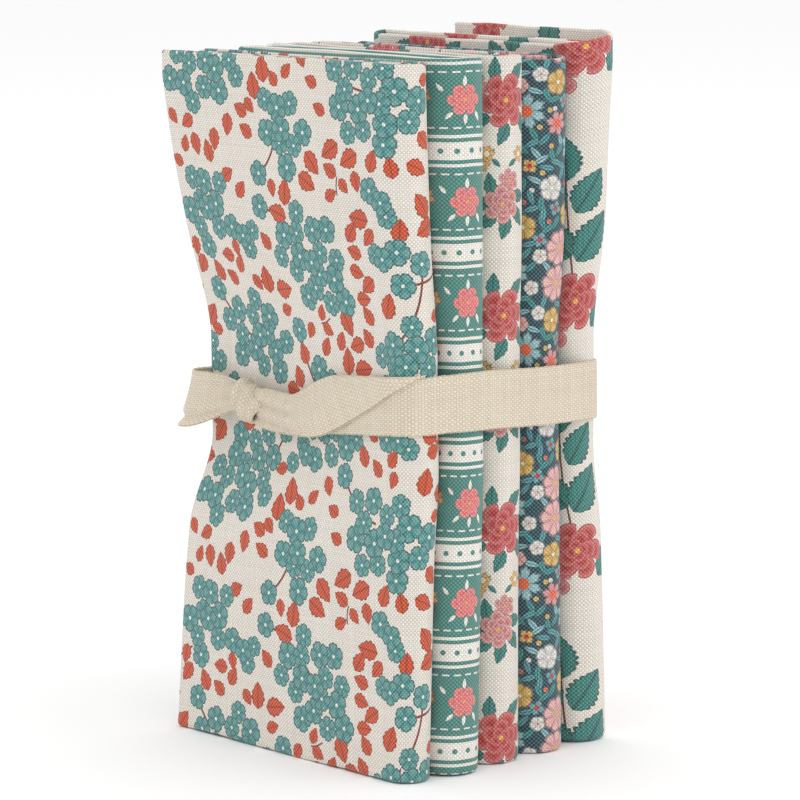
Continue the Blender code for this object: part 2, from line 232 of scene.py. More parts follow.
@dataclass
class FoldPlan:
    """The plan of one cut's layers at many heights at once, in the tables' coordinates."""

    cut: Cut
    number: int
    heights: Array
    fine_step: float = 1.45 * MM
    coarse_step: float = 4.6 * MM
    coarse_room: float = 0.45
    outer_steps: int = 16  # of the outer layers' turn round the spine
    middle_steps: int = 8
    inner_steps: int = 6
    loose_steps: int = 6  # of each turn at the loose side
    loose_room: float = 0.8

    def __post_init__(self) -> None:
        """Reads the stack's columns at the heights."""
        columns = STACK.at(self.heights).T * MM
        front_spine, front_loose, self.drawn_in, self.bow = columns[:4]
        spine_depths, loose_depths = columns[4:9], columns[9:14]
        self.spine_x = self.cut.spine * MM - spine_depths[self.number] / 2
        self.loose_x = SPRIG_CUT.front_turn * MM + self.drawn_in
        self.spine_front = front_spine + spine_depths[: self.number].sum(axis=0)
        self.loose_front = front_loose + loose_depths[: self.number].sum(axis=0)
        self.spine_depth = spine_depths[self.number] - CUT_GAP
        self.loose_depth = loose_depths[self.number] - CUT_GAP

    def share(self, x: Array) -> Array:
        """How far x lies from the loose side, 0, to the line through the spines, 1."""
        return (x - self.loose_x) / (SPINE_LINE - self.loose_x)

    def pitch(self, x: Array) -> Array:
        """The distance from one layer's middle to the next at x."""
        depth = self.loose_depth + self.share(x) * (self.spine_depth - self.loose_depth)
        return (depth + LAYER_GAP) / len(Layer)

    def layer_y(self, x: Array, layer: Layer) -> Array:
        """The y of the middle of a layer at x."""
        front = self.loose_front + self.share(x) * (self.spine_front - self.loose_front)
        from_middle = 2 * (self.number + (layer + 0.5) / len(Layer)) / len(CUTS) - 1
        rising = smooth_step((x - self.loose_x) / (BOW_PLACES[0] - self.loose_x))
        falling = smooth_step((SPINE_LINE - x) / (SPINE_LINE - BOW_PLACES[1]))
        pitch = self.pitch(x)
        return front + self.bow * from_middle * rising * falling + layer * pitch + (pitch - LAYER_GAP) / 2

    def run(
        self,
        layer: Layer,
        side: int,
        start: Array,
        stop: Array,
        fine: bool = False,
        free: str = "",
    ) -> Stretch:
        """A straight run of a layer.

        Args:
            layer: The layer.
            side: 1 where the path runs towards +X and -1 where it runs back.
            start: x where the run starts, at every row.
            stop: x where it stops.
            fine: True for the small cells of cloth that shows.
            free: "start" or "stop" where that end is the cloth's own edge.

        Returns:
            The run, without the ends that a turn already has.
        """
        step = self.fine_step if fine else self.coarse_step
        count = max(3, round(float(np.abs(stop - start).mean()) / step))
        shares = np.linspace(0, 1, count + 1)[0 if free == "start" else 1 : None if free == "stop" else -1]
        x = start + shares[:, None] * (stop - start)
        across = np.zeros((*x.shape, 2))
        across[..., 1] = side
        rises = np.full(len(shares), self.cut.rises[layer] * MM)
        room = np.full(len(shares), 1.0 if fine else self.coarse_room)
        return Stretch(np.stack([x, self.layer_y(x, layer)], axis=-1), across, self.pitch(x), rises, room)

    def turn(
        self, x: Array, start: Layer, stop: Layer, outward: int, segments: int, room: float
    ) -> Stretch:
        """A half circle from one layer to another.

        Args:
            x: Its centre at every row.
            start: The layer it leaves.
            stop: The layer it reaches.
            outward: 1 at the spine and -1 at the loose side.
            segments: How many steps it has.
            room: Share of the baked picture that each line asks for.

        Returns:
            The turn, with both its ends.
        """
        start_y, stop_y = self.layer_y(x, start), self.layer_y(x, stop)
        radius = np.abs(stop_y - start_y) / 2
        upward = 1 if stop > start else -1
        shares = np.linspace(0, 1, segments + 1)
        angles = math.pi * (shares - 0.5)[:, None]
        radial = np.stack(np.broadcast_arrays(outward * np.cos(angles), upward * np.sin(angles)), axis=-1)
        radial = np.broadcast_to(radial, (segments + 1, len(x), 2))
        centre = np.stack([x, (start_y + stop_y) / 2], axis=-1)
        rises = MM * (self.cut.rises[start] + shares * (self.cut.rises[stop] - self.cut.rises[start]))
        pitch = np.broadcast_to(self.pitch(x), (segments + 1, len(x)))
        places = centre + radius[:, None] * radial
        return Stretch(places, radial * -(outward * upward), pitch, rises, np.full(segments + 1, room))

    def path(self, fine_front: bool, fine_back: bool) -> Stretch:
        """The middle line, from the outer back layer's free end to the inner front layer's.

        Args:
            fine_front: True where the cut's front shows.
            fine_back: True where its back shows.

        Returns:
            The whole path.
        """
        cut = self.cut
        turn_room = self.drawn_in + self.pitch(self.loose_x)
        front_turn = cut.front_turn * MM + turn_room
        back_turn = cut.back_turn * MM + turn_room
        spine = self.spine_x
        outer_end = cut.outer_end * MM + self.drawn_in
        inner_end = cut.inner_end * MM + self.drawn_in
        middle_back = [self.run(Layer.MIDDLE_BACK, -1, spine, back_turn)]
        if fine_back:
            beyond = self.run(Layer.MIDDLE_BACK, -1, outer_end, back_turn, True)
            middle_back = [self.run(Layer.MIDDLE_BACK, -1, spine, outer_end), beyond]
        loose = (-1, self.loose_steps, self.loose_room)
        parts = [
            self.run(Layer.OUTER_BACK, 1, outer_end, spine, fine_back, "start"),
            self.turn(spine, Layer.OUTER_BACK, Layer.OUTER_FRONT, 1, self.outer_steps, 1.0),
            self.run(Layer.OUTER_FRONT, -1, spine, front_turn, fine_front),
            self.turn(front_turn, Layer.OUTER_FRONT, Layer.MIDDLE_FRONT, *loose),
            self.run(Layer.MIDDLE_FRONT, 1, front_turn, spine),
            self.turn(spine, Layer.MIDDLE_FRONT, Layer.MIDDLE_BACK, 1, self.middle_steps, self.coarse_room),
            *middle_back,
            self.turn(back_turn, Layer.MIDDLE_BACK, Layer.INNER_BACK, *loose),
            self.run(Layer.INNER_BACK, 1, back_turn, spine),
            self.turn(spine, Layer.INNER_BACK, Layer.INNER_FRONT, 1, self.inner_steps, self.coarse_room),
            self.run(Layer.INNER_FRONT, -1, spine, inner_end, False, "stop"),
        ]
        return Stretch.joined(parts)


# Prints ----------------------------------------------------------------------------------------


class MotifKind(IntEnum):
    """What a printed motif is drawn as."""

    FLOWER = 1
    ROSE = 2
    LEAF = 3
    STEM = 4


class Motif(NamedTuple):
    """One printed motif: place and size in millimetres, angle in radians."""

    kind: MotifKind
    x: float
    y: float
    angle: float
    size: float  # radius of a flower, rose or stem's arc, or half the length of a leaf
    count: float  # petals of a flower, or teeth of a leaf
    depth: float  # depth between petals, half width of a leaf over its size, or half angle of a stem
    sharp: float  # roundness of petals, or half width of a stem in millimetres
    eye: float  # radius of the centre over the size
    body: Colour
    accent: Colour

    @property
    def reach(self) -> float:
        """How far the motif goes from its place."""
        return self.size + (self.sharp if self.kind is MotifKind.STEM else 0.0)

    def touches(self, off_x: Array, off_y: Array, slack: Array) -> Array:
        """Which cells the motif may show on.

        Args:
            off_x: From the motif's place to the cells' middles.
            off_y: The same along Y.
            slack: Half the diagonal of each cell.

        Returns:
            True for each such cell.
        """
        along = off_x * math.cos(self.angle) + off_y * math.sin(self.angle)
        aside = off_y * math.cos(self.angle) - off_x * math.sin(self.angle)
        distance = np.hypot(off_x, off_y)
        if self.kind is MotifKind.LEAF:
            return (np.abs(along) < self.size + slack) & (np.abs(aside) < self.size * self.depth + slack)
        if self.kind is MotifKind.STEM:
            within = np.abs(np.arctan2(aside, along)) < self.depth + slack / self.size
            return within & (np.abs(distance - self.size) < self.sharp + slack)
        return distance < self.size + slack

    def covers(self, off_x: Array, off_y: Array, slack: Array) -> Array:
        """Which cells it hides whole. The arguments are those of touches."""
        if self.kind in (MotifKind.LEAF, MotifKind.STEM):
            return np.zeros(off_x.shape, bool)
        solid = self.size * (0.85 if self.kind is MotifKind.ROSE else 1 - self.depth) - slack
        return np.hypot(off_x, off_y) < solid


class Inks:
    """The printing colours."""

    CREAM = linear(224, 217, 207)
    TEAL = linear(60, 148, 146)
    TEAL_DARK = linear(30, 74, 74)
    RUST = linear(206, 74, 28)
    RUST_DARK = linear(124, 44, 26)
    WHITE = linear(232, 227, 219)
    SEA = linear(68, 130, 121)
    PINK = linear(226, 138, 138)
    PALE_PINK = linear(240, 176, 172)
    RED = linear(196, 46, 46)
    DEEP_RED = linear(140, 22, 26)
    MUSTARD = linear(222, 176, 70)
    NAVY = linear(28, 68, 80)
    SKY = linear(146, 194, 200)
    POOL = linear(88, 158, 166)
    ORANGE = linear(222, 98, 58)
    LEAF_TEAL = linear(50, 128, 120)
    BROWN = linear(108, 52, 30)


RED_ROSE = (Inks.RED, Inks.PALE_PINK)
GREEN_LEAF = (Inks.LEAF_TEAL, Inks.TEAL_DARK)
GOLDEN_ANGLE = 2.39996
SPOT_TRIES = 60


def blossom(x: float, y: float, angle: float, size: float, petals: int, body: Colour, eye: Colour) -> Motif:
    """A flat blossom with round petals and a small centre."""
    return Motif(MotifKind.FLOWER, x, y, angle, size, petals, 0.2, 0.5, 0.13, body, eye)


def daisy(x: float, y: float, angle: float, size: float, petals: int, body: Colour, eye: Colour) -> Motif:
    """A daisy with deeply parted petals and a big centre."""
    return Motif(MotifKind.FLOWER, x, y, angle, size, petals, 0.52, 0.6, 0.3, body, eye)


def berry(x: float, y: float, size: float, body: Colour) -> Motif:
    """A round spot."""
    return Motif(MotifKind.FLOWER, x, y, 0.0, size, 1, 0.0, 1.0, 0.0, body, body)


def rose(x: float, y: float, angle: float, size: float, body: Colour, accent: Colour) -> Motif:
    """A full rose with whorled petals."""
    return Motif(MotifKind.ROSE, x, y, angle, size, 5, 0.0, 1.0, 0.0, body, accent)


def leaf(
    x: float, y: float, angle: float, size: float, width: float, teeth: float, body: Colour, vein: Colour
) -> Motif:
    """A leaf that points along its angle, from its middle."""
    return Motif(MotifKind.LEAF, x, y, angle, size, teeth, width, 1.0, 0.0, body, vein)


def stem(start: Place, stop: Place, bend: float, width: float, body: Colour) -> Motif:
    """A stem along an arc.

    Args:
        start: Its first end.
        stop: Its last end.
        bend: Half the angle that the arc turns through, negative to bend the other way.
        width: Half its width.
        body: Its colour.

    Returns:
        The motif, placed at the middle of the arc's circle.
    """
    first, last = (stop, start) if bend < 0 else (start, stop)
    span = math.dist(first, last)
    radius = span / 2 / math.sin(abs(bend))
    toward = math.atan2(last[1] - first[1], last[0] - first[0]) - math.pi / 2
    back = radius * math.cos(bend)
    x = (first[0] + last[0]) / 2 - back * math.cos(toward)
    y = (first[1] + last[1]) / 2 - back * math.sin(toward)
    return Motif(MotifKind.STEM, x, y, toward, radius, 0, abs(bend), width, 0.0, body, body)


@dataclass(frozen=True)
class Print:
    """A printed pattern that repeats: its colours and its tile, in millimetres."""

    name: str
    ground: Colour
    ink: Colour
    repeat: Place
    origin: Place = (0.0, 0.0)
    layers: int = 3
    seed: int = 1

    def motifs(self) -> list[Motif]:
        """The tile's motifs, the topmost first."""
        raise NotImplementedError

    def ground_colour(self, sheet: "NodeSheet", place: "Term") -> Value:
        """The colour under the motifs, in a material's nodes, at a place in millimetres. It is plain here."""
        return self.ground

    def lay(self, lines: Array, rows: Array) -> "LaidPrint":
        """Finds the motifs that each cell of a cloth shows.

        Args:
            lines: Places of the cloth's lines along its length, in millimetres.
            rows: Places of its rows.

        Returns:
            The motifs on each cell, the topmost first.
        """
        motifs = self.motifs()
        middles = [(edges[1:] + edges[:-1]) / 2 for edges in (lines, rows)]
        slack = np.hypot(np.diff(lines)[:, None], np.diff(rows)[None, :]) / 2
        shape = slack.shape
        chosen = np.full((self.layers, *shape), -1, int)
        filled = np.zeros(shape, int)
        hidden = np.zeros(shape, bool)
        placed = []
        for number, motif in enumerate(motifs):
            for centre in self.repeats(motif, lines[-1], rows[-1]):
                low_i, high_i = np.searchsorted(lines, (centre[0] - motif.reach, centre[0] + motif.reach))
                low_j, high_j = np.searchsorted(rows, (centre[1] - motif.reach, centre[1] + motif.reach))
                part = (slice(max(low_i - 1, 0), high_i), slice(max(low_j - 1, 0), high_j))
                off_x = middles[0][part[0], None] - centre[0] + 0 * slack[part]
                off_y = middles[1][None, part[1]] - centre[1] + 0 * slack[part]
                if not off_x.size:
                    continue
                open_to_more = ~hidden[part] & (filled[part] < self.layers)
                shown = motif.touches(off_x, off_y, slack[part]) & open_to_more
                if not shown.any():
                    continue
                placed.append((number, *centre))
                for layer in range(self.layers):
                    chosen[layer][part][shown & (filled[part] == layer)] = len(placed) - 1
                filled[part] += shown
                hidden[part] |= motif.covers(off_x, off_y, slack[part])
        return LaidPrint(motifs, placed, chosen)

    def repeats(self, motif: Motif, width: float, height: float) -> list[Place]:
        """Every place of a motif on a cloth of that size."""
        places = []
        for column in range(-1, math.ceil(width / self.repeat[0]) + 1):
            for row in range(-1, math.ceil(height / self.repeat[1]) + 1):
                x = motif.x + self.origin[0] + column * self.repeat[0]
                y = motif.y + self.origin[1] + row * self.repeat[1]
                if -motif.reach < x < width + motif.reach and -motif.reach < y < height + motif.reach:
                    places.append((x, y))
        return places

    def is_free(self, x: float, y: float, taken: Sequence[Spot], size: float) -> bool:
        """Whether a round place is clear of the others.

        Args:
            x: The place's middle.
            y: The same along Y.
            taken: The places and sizes of the others.
            size: Its radius.

        Returns:
            True where it is, with the tile repeated.
        """
        width, height = self.repeat
        for other_x, other_y, other in taken:
            off_x = (x - other_x + width / 2) % width - width / 2
            off_y = (y - other_y + height / 2) % height - height / 2
            if math.hypot(off_x, off_y) < size + other:
                return False
        return True

    def free_spot(
        self, chance: np.random.Generator, taken: Sequence[Spot], size: float
    ) -> Optional[Place]:
        """A place on the tile that is clear of the others, or None after many tries.

        Args:
            chance: The seeded numbers.
            taken: The places and sizes of the others.
            size: The new motif's size.

        Returns:
            The place.
        """
        width, height = self.repeat
        for _ in range(SPOT_TRIES):
            x, y = float(chance.uniform(0, width)), float(chance.uniform(0, height))
            if self.is_free(x, y, taken, size):
                return x, y
        return None


@dataclass
class LaidPrint:
    """The motifs that each cell of a cloth shows."""

    motifs: list[Motif]
    placed: list[tuple[int, float, float]]
    chosen: Array  # layers, lines, rows: index in placed, or -1
    NAMES: ClassVar[tuple[str, ...]] = ("place", "form", "cut", "body", "accent")

    def attributes(self, layer: int) -> dict[str, Array]:
        """What the shader reads on each cell for one layer of motifs, three numbers for each name."""
        bare = (0.0, 0.0, 0.0)
        table = {name: [bare] for name in self.NAMES}
        for number, x, y in self.placed:
            motif = self.motifs[number]
            table["place"].append((x, y, motif.angle))
            table["form"].append((float(motif.kind), motif.size, motif.count))
            table["cut"].append((motif.depth, motif.sharp, motif.eye))
            table["body"].append(motif.body)
            table["accent"].append(motif.accent)
        picked = self.chosen[layer] + 1
        return {name: np.array(rows)[picked] for name, rows in table.items()}


class Bunch(NamedTuple):
    """Blossoms packed round a place, in millimetres."""

    x: float
    y: float
    count: int
    axis: float  # radians: the direction in which it is longer


@dataclass(frozen=True)
class SprigPrint(Print):
    """Bunches of small teal blossoms among rust leaves, joined by thin stems."""

    blossom_size: float = 3.45
    blossom_room: float = 0.8  # of a blossom's radius, kept clear round its middle
    leaf_room: float = 0.66  # of a leaf's half length, kept clear round its middle
    small_bunches: int = 7
    sprays: int = 12

    def motifs(self) -> list[Motif]:
        """The tile's motifs, the topmost first."""
        bunches = [
            Bunch(16.0, 18.0, 16, 0.4), Bunch(47.0, 10.0, 9, 1.4), Bunch(74.0, 25.0, 18, -0.5),
            Bunch(38.0, 44.0, 13, 1.1), Bunch(68.0, 60.0, 14, 0.2), Bunch(10.0, 58.0, 11, 1.9),
            Bunch(40.0, 80.0, 17, 0.8), Bunch(80.0, 90.0, 10, -0.9),
        ]
        twigs = (
            ((16.0, 20.0), (33.0, 30.0), 0.5), ((76.0, 27.0), (58.0, 38.0), -0.6),
            ((66.0, 58.0), (83.0, 70.0), 0.5), ((36.0, 45.0), (22.0, 50.0), 0.5),
            ((40.0, 80.0), (58.0, 92.0), -0.5), ((82.0, 86.0), (101.0, 77.0), 0.4),
            ((12.0, 63.0), (4.0, 82.0), -0.4), ((49.0, 12.0), (57.0, -1.0), 0.5),
            ((40.0, 46.0), (51.0, 63.0), 0.4),
        )
        tops: list[Motif] = []
        leaves: list[Motif] = []
        stems: list[Motif] = []
        for bunch in bunches:
            tops += self.blossoms(bunch, self.blossom_size)
        for start, stop, bend in twigs:
            stems.append(stem(start, stop, bend, 0.3, Inks.RUST_DARK))
            toward = math.atan2(stop[1] - start[1], stop[0] - start[0])
            tops.append(blossom(*stop, toward, self.blossom_size * 0.95, 5, Inks.TEAL, Inks.WHITE))
        taken = self.rooms(tops)
        chance = np.random.default_rng(self.seed)
        for number in range(self.small_bunches):
            spot = self.free_spot(chance, taken, 4.6)
            if spot is not None:
                bunches.append(Bunch(*spot, 3 + number % 2, float(chance.uniform(0, math.pi))))
                more = self.blossoms(bunches[-1], self.blossom_size * 0.92)
                taken += self.rooms(more)
                tops += more
        for number, (x, y, count, axis) in enumerate(bunches):
            reach = self.blossom_size * 0.9 * math.sqrt(count) + 3.4
            for step in range(11 + count // 2):
                turned = axis + step * 2.4
                size = (2.9, 2.3, 3.4, 2.6)[(step + number) % 4]
                middle = beside(x, y, reach * (1.0 + 0.02 * step), turned, 0.95)
                self.add_leaf(leaves, taken, middle, turned + (-0.5, 0.2, 0.6)[step % 3], size)
        for _ in range(self.sprays):
            spot = self.free_spot(chance, taken, 3.2)
            if spot is None:
                continue
            axis = float(chance.uniform(0, 2 * math.pi))
            stems.append(stem(beside(*spot, -4.4, axis), spot, 0.3, 0.2, Inks.RUST_DARK))
            for step, size in enumerate((2.3, 2.6, 3.0, 2.5, 2.2)):
                turned = axis + (step - 2) * 1.15
                self.add_leaf(leaves, taken, beside(*spot, 2.9, turned), turned, size)
        return tops + leaves + stems

    def rooms(self, blossoms: list[Motif]) -> list[Spot]:
        """The places that some blossoms keep clear."""
        return [(top.x, top.y, top.size * self.blossom_room) for top in blossoms]

    def blossoms(self, bunch: Bunch, size: float) -> list[Motif]:
        """A bunch's blossoms, the outer ones under the inner ones.

        Args:
            bunch: The bunch.
            size: A blossom's radius.

        Returns:
            The blossoms.
        """
        found = []
        x, y, count, axis = bunch
        for step in range(count):
            turned = step * GOLDEN_ANGLE + axis
            out = size * 0.9 * math.sqrt(step)
            along, aside = out * math.cos(turned) * 1.18, out * math.sin(turned) * 0.86
            place_x = x + along * math.cos(axis) - aside * math.sin(axis)
            place_y = y + along * math.sin(axis) + aside * math.cos(axis)
            grown = size * (1.0, 0.92, 1.06, 0.86)[step % 4]
            found.append(blossom(place_x, place_y, turned, grown, 5 + step % 2, Inks.TEAL, Inks.WHITE))
        return found

    def add_leaf(
        self, leaves: list[Motif], taken: list[Spot], place: Place, lean: float, size: float
    ) -> None:
        """Adds a rust leaf to the leaves and the taken places, where its place is free.

        Args:
            leaves: The leaves so far.
            taken: The places and sizes of all that is there.
            place: The leaf's middle.
            lean: The way it points.
            size: Half its length.
        """
        if self.is_free(*place, taken, size * self.leaf_room):
            taken.append((*place, size * self.leaf_room))
            leaves.append(leaf(*place, lean, size, 0.68, 7.0, Inks.RUST, Inks.RUST_DARK))


@dataclass(frozen=True)
class StripePrint(Print):
    """Teal with cream lines, dotted and dashed bands, and a row of roses between them."""

    dash: tuple[float, float] = (2.7, 1.7)  # from one to the next, and its length
    spot: tuple[float, float] = (3.3, 0.62)  # from one to the next, and its radius
    line_ends: tuple[float, ...] = (0.0, 2.05, 2.95, 3.7, 5.1)  # from the dotted band's middle
    dash_ends: tuple[float, float] = (5.1, 5.5)

    def motifs(self) -> list[Motif]:
        """The tile's motifs, the topmost first. The rose's row is at half the repeat's height."""
        middle = self.repeat[1] / 2
        leaves = (
            (5.5, 4.3, 1.6, 1.25), (2.4, -3.9, -2.0, 1.25), (5.5, -4.5, -1.5, 1.25), (8.9, -3.6, -0.8, 1.15),
            (10.6, 2.9, 0.9, 1.15), (14.8, -2.8, -1.4, 1.15), (18.3, 2.2, 0.7, 1.2),
        )
        found = [
            rose(5.5, middle, 0.4, 3.7, Inks.PINK, Inks.PALE_PINK),
            daisy(14.6, middle + 1.0, 0.3, 2.4, 6, Inks.MUSTARD, Inks.WHITE),
        ]
        for x, y, turned, size in leaves:
            found.append(leaf(x, middle + y, turned, size, 0.42, 0.0, Inks.WHITE, Inks.WHITE))
        return found

    def ground_colour(self, sheet: "NodeSheet", place: "Term") -> Value:
        """The bands. See Print.ground_colour."""
        along, height, _ = sheet.separate(place)
        height = (height - self.origin[1]) % self.repeat[1]
        from_line = height.lesser(self.repeat[1] - height)
        cream, teal = Inks.WHITE, self.ground
        span = self.repeat[1] / 2
        tints = (cream, teal, cream, teal, teal)
        colour = sheet.bands(from_line / span, [(at / span, tint) for at, tint in zip(self.line_ends, tints)])
        low, high = self.dash_ends
        dash = (along % self.dash[0] < self.dash[1]) * ((from_line > low) * (from_line < high))
        pitch, radius = self.spot
        off = along % pitch - pitch / 2
        spot = (off * off + from_line * from_line).root() < radius
        return spot.mix(dash.mix(colour, cream), teal)


@dataclass(frozen=True)
class RosePrint(Print):
    """Groups of pink and red roses with small leaves and mustard daisies, on cream."""

    def motifs(self) -> list[Motif]:
        """The tile's motifs, the topmost first."""
        groups = (
            (12.0, 11.0, 6.6, 0.3, True),
            (13.0, 37.0, 4.6, 1.9, False),
            (36.0, 23.0, 6.0, 2.6, True),
        )
        tops: list[Motif] = []
        under: list[Motif] = []
        for x, y, size, axis, red in groups:
            tops.append(rose(x, y, axis, size, *(RED_ROSE if red else (Inks.PINK, Inks.WHITE))))
            bud = beside(x, y, 1.25 * size, axis)
            under.append(rose(*bud, axis + 1, size * 0.62, Inks.PINK, Inks.WHITE))
            for step in range(6):
                turned = axis + 0.9 + step * 0.9
                place = beside(x, y, size * 1.2, turned)
                under.append(leaf(*place, turned + 0.4, 2.9, 0.54, 6.5, *GREEN_LEAF))
            for step in range(3):
                turned = axis - 2.2 + step * 0.7
                bloom = beside(x, y, size * 1.2 + 5.2, turned)
                tops.append(daisy(*bloom, turned, 2.2, 6, Inks.MUSTARD, Inks.WHITE))
                for away in (turned - 1.2, turned + 1.2):
                    under.append(leaf(*beside(*bloom, 3.2, away), away, 1.4, 0.5, 0.0, *GREEN_LEAF))
        return tops + under


class Bloom(Enum):
    """The kinds of small motif in the meadow print."""

    LARGE = 8
    MIDDLE = 6
    SMALL = 5
    LEAF = 1
    BERRY = 0


@dataclass(frozen=True)
class MeadowPrint(Print):
    """A dark ground thick with pink, blue, mustard and white flowers and pale leaves."""

    def motifs(self) -> list[Motif]:
        """The tile's motifs, the topmost first. A flower's kind is its number of petals."""
        pink, sky, mustard, white = Inks.PALE_PINK, Inks.SKY, Inks.MUSTARD, Inks.WHITE
        kinds = (
            (Bloom.LARGE, 9, 4.7, 0.86, (pink, sky), (mustard, Inks.ORANGE)),
            (Bloom.MIDDLE, 14, 3.3, 0.88, (sky, mustard, Inks.PINK, white), (Inks.ORANGE, white)),
            (Bloom.SMALL, 34, 1.95, 0.88, (white, Inks.POOL, pink, mustard), (Inks.ORANGE, Inks.RED)),
            (Bloom.LEAF, 150, 1.7, 0.58, (Inks.POOL, sky, Inks.TEAL), (Inks.TEAL_DARK,)),
            (Bloom.BERRY, 50, 0.6, 1.0, (Inks.ORANGE, white, mustard), (Inks.RED,)),
        )
        chance = np.random.default_rng(self.seed)
        taken: list[Spot] = []
        found: list[Motif] = []
        for rank, (kind, count, size, spread, bodies, eyes) in enumerate(kinds):
            for number in range(count):
                spot = self.free_spot(chance, taken, size * spread)
                if spot is None:
                    continue
                taken.append((*spot, size * spread))
                turned = float(chance.uniform(0, 2 * math.pi))
                body, eye = bodies[number % len(bodies)], eyes[number % len(eyes)]
                if kind is Bloom.LEAF:
                    found.append(leaf(*spot, turned, size * 1.15, 0.42, 0.0, body, eye))
                elif kind is Bloom.BERRY:
                    found.append(berry(*spot, size, body))
                else:
                    maker = (blossom, daisy)[(number + rank) % 2]
                    found.append(maker(*spot, turned, size, kind.value - number % 2, body, eye))
        return found


@dataclass(frozen=True)
class LeafPrint(Print):
    """Pairs of big toothed leaves on stems, with red and pink roses, on cream."""

    STALK: ClassVar[tuple[tuple[float, int, float], ...]] = (
        (14.5, 1, 6.6), (15.5, -1, 6.2), (25.5, 1, 5.8), (26.5, -1, 5.4), (34.5, 0, 5.6),
    )  # each leaf's place along the stalk, its side and its size

    def motifs(self) -> list[Motif]:
        """The tile's motifs, the topmost first."""
        columns = ((13.0, 11.0, RED_ROSE, 1.45), (40.0, 41.0, (Inks.PINK, Inks.RED), 1.72))
        tops: list[Motif] = []
        under: list[Motif] = []
        for x, y, inks, turned in columns:
            tops.append(rose(x, y, 0.5, 7.2, *inks))
            under.append(rose(x + 6.0, y - 7.2, 1.0, 4.8, Inks.PINK, Inks.PALE_PINK))
            for side, lean in ((-1, math.pi - 0.8), (1, 0.2)):
                under.append(leaf(x + side * 9.0, y - 3.0, lean, 5.2, 0.66, 11.0, *GREEN_LEAF))
            for out, side, size in self.STALK:
                place_x = x + out * math.cos(turned) - side * 4.7 * math.sin(turned)
                place_y = y + out * math.sin(turned) + side * 4.7 * math.cos(turned)
                under.append(leaf(place_x, place_y, turned + side * 0.7, size, 0.66, 12.5, *GREEN_LEAF))
            under.append(stem((x, y), beside(x, y, 33.0, turned), 0.12, 0.24, Inks.BROWN))
        return tops + under


# Nodes -----------------------------------------------------------------------------------------


class Term:
    """A value in a node tree. Arithmetic on it adds the nodes that do the arithmetic."""

    def __init__(self, sheet: "NodeSheet", socket: bpy.types.NodeSocket) -> None:
        """Stands for a socket."""
        self.sheet, self.socket = sheet, socket

    def step(self, operation: str, *others: Value) -> "Term":
        """A step of arithmetic on this value and others."""
        return self.sheet.math(operation, self, *others)

    def turned_step(self, operation: str, other: Value) -> "Term":
        """A step of arithmetic with the other value first."""
        return self.sheet.math(operation, other, self)

    def mix(self, low: Value, high: Value) -> "Term":
        """One colour mixed into another by this much."""
        return self.sheet.mix(self, low, high)

    __add__ = partialmethod(step, "ADD")
    __radd__ = partialmethod(turned_step, "ADD")
    __sub__ = partialmethod(step, "SUBTRACT")
    __rsub__ = partialmethod(turned_step, "SUBTRACT")
    __mul__ = partialmethod(step, "MULTIPLY")
    __truediv__ = partialmethod(step, "DIVIDE")
    __mod__ = partialmethod(step, "FLOORED_MODULO")
    __pow__ = partialmethod(step, "POWER")
    __lt__ = partialmethod(step, "LESS_THAN")
    __gt__ = partialmethod(step, "GREATER_THAN")
    __abs__ = partialmethod(step, "ABSOLUTE")
    cosine = partialmethod(step, "COSINE")
    sine = partialmethod(step, "SINE")
    fraction = partialmethod(step, "FRACT")
    root = partialmethod(step, "SQRT")
    greater = partialmethod(step, "MAXIMUM")
    lesser = partialmethod(step, "MINIMUM")


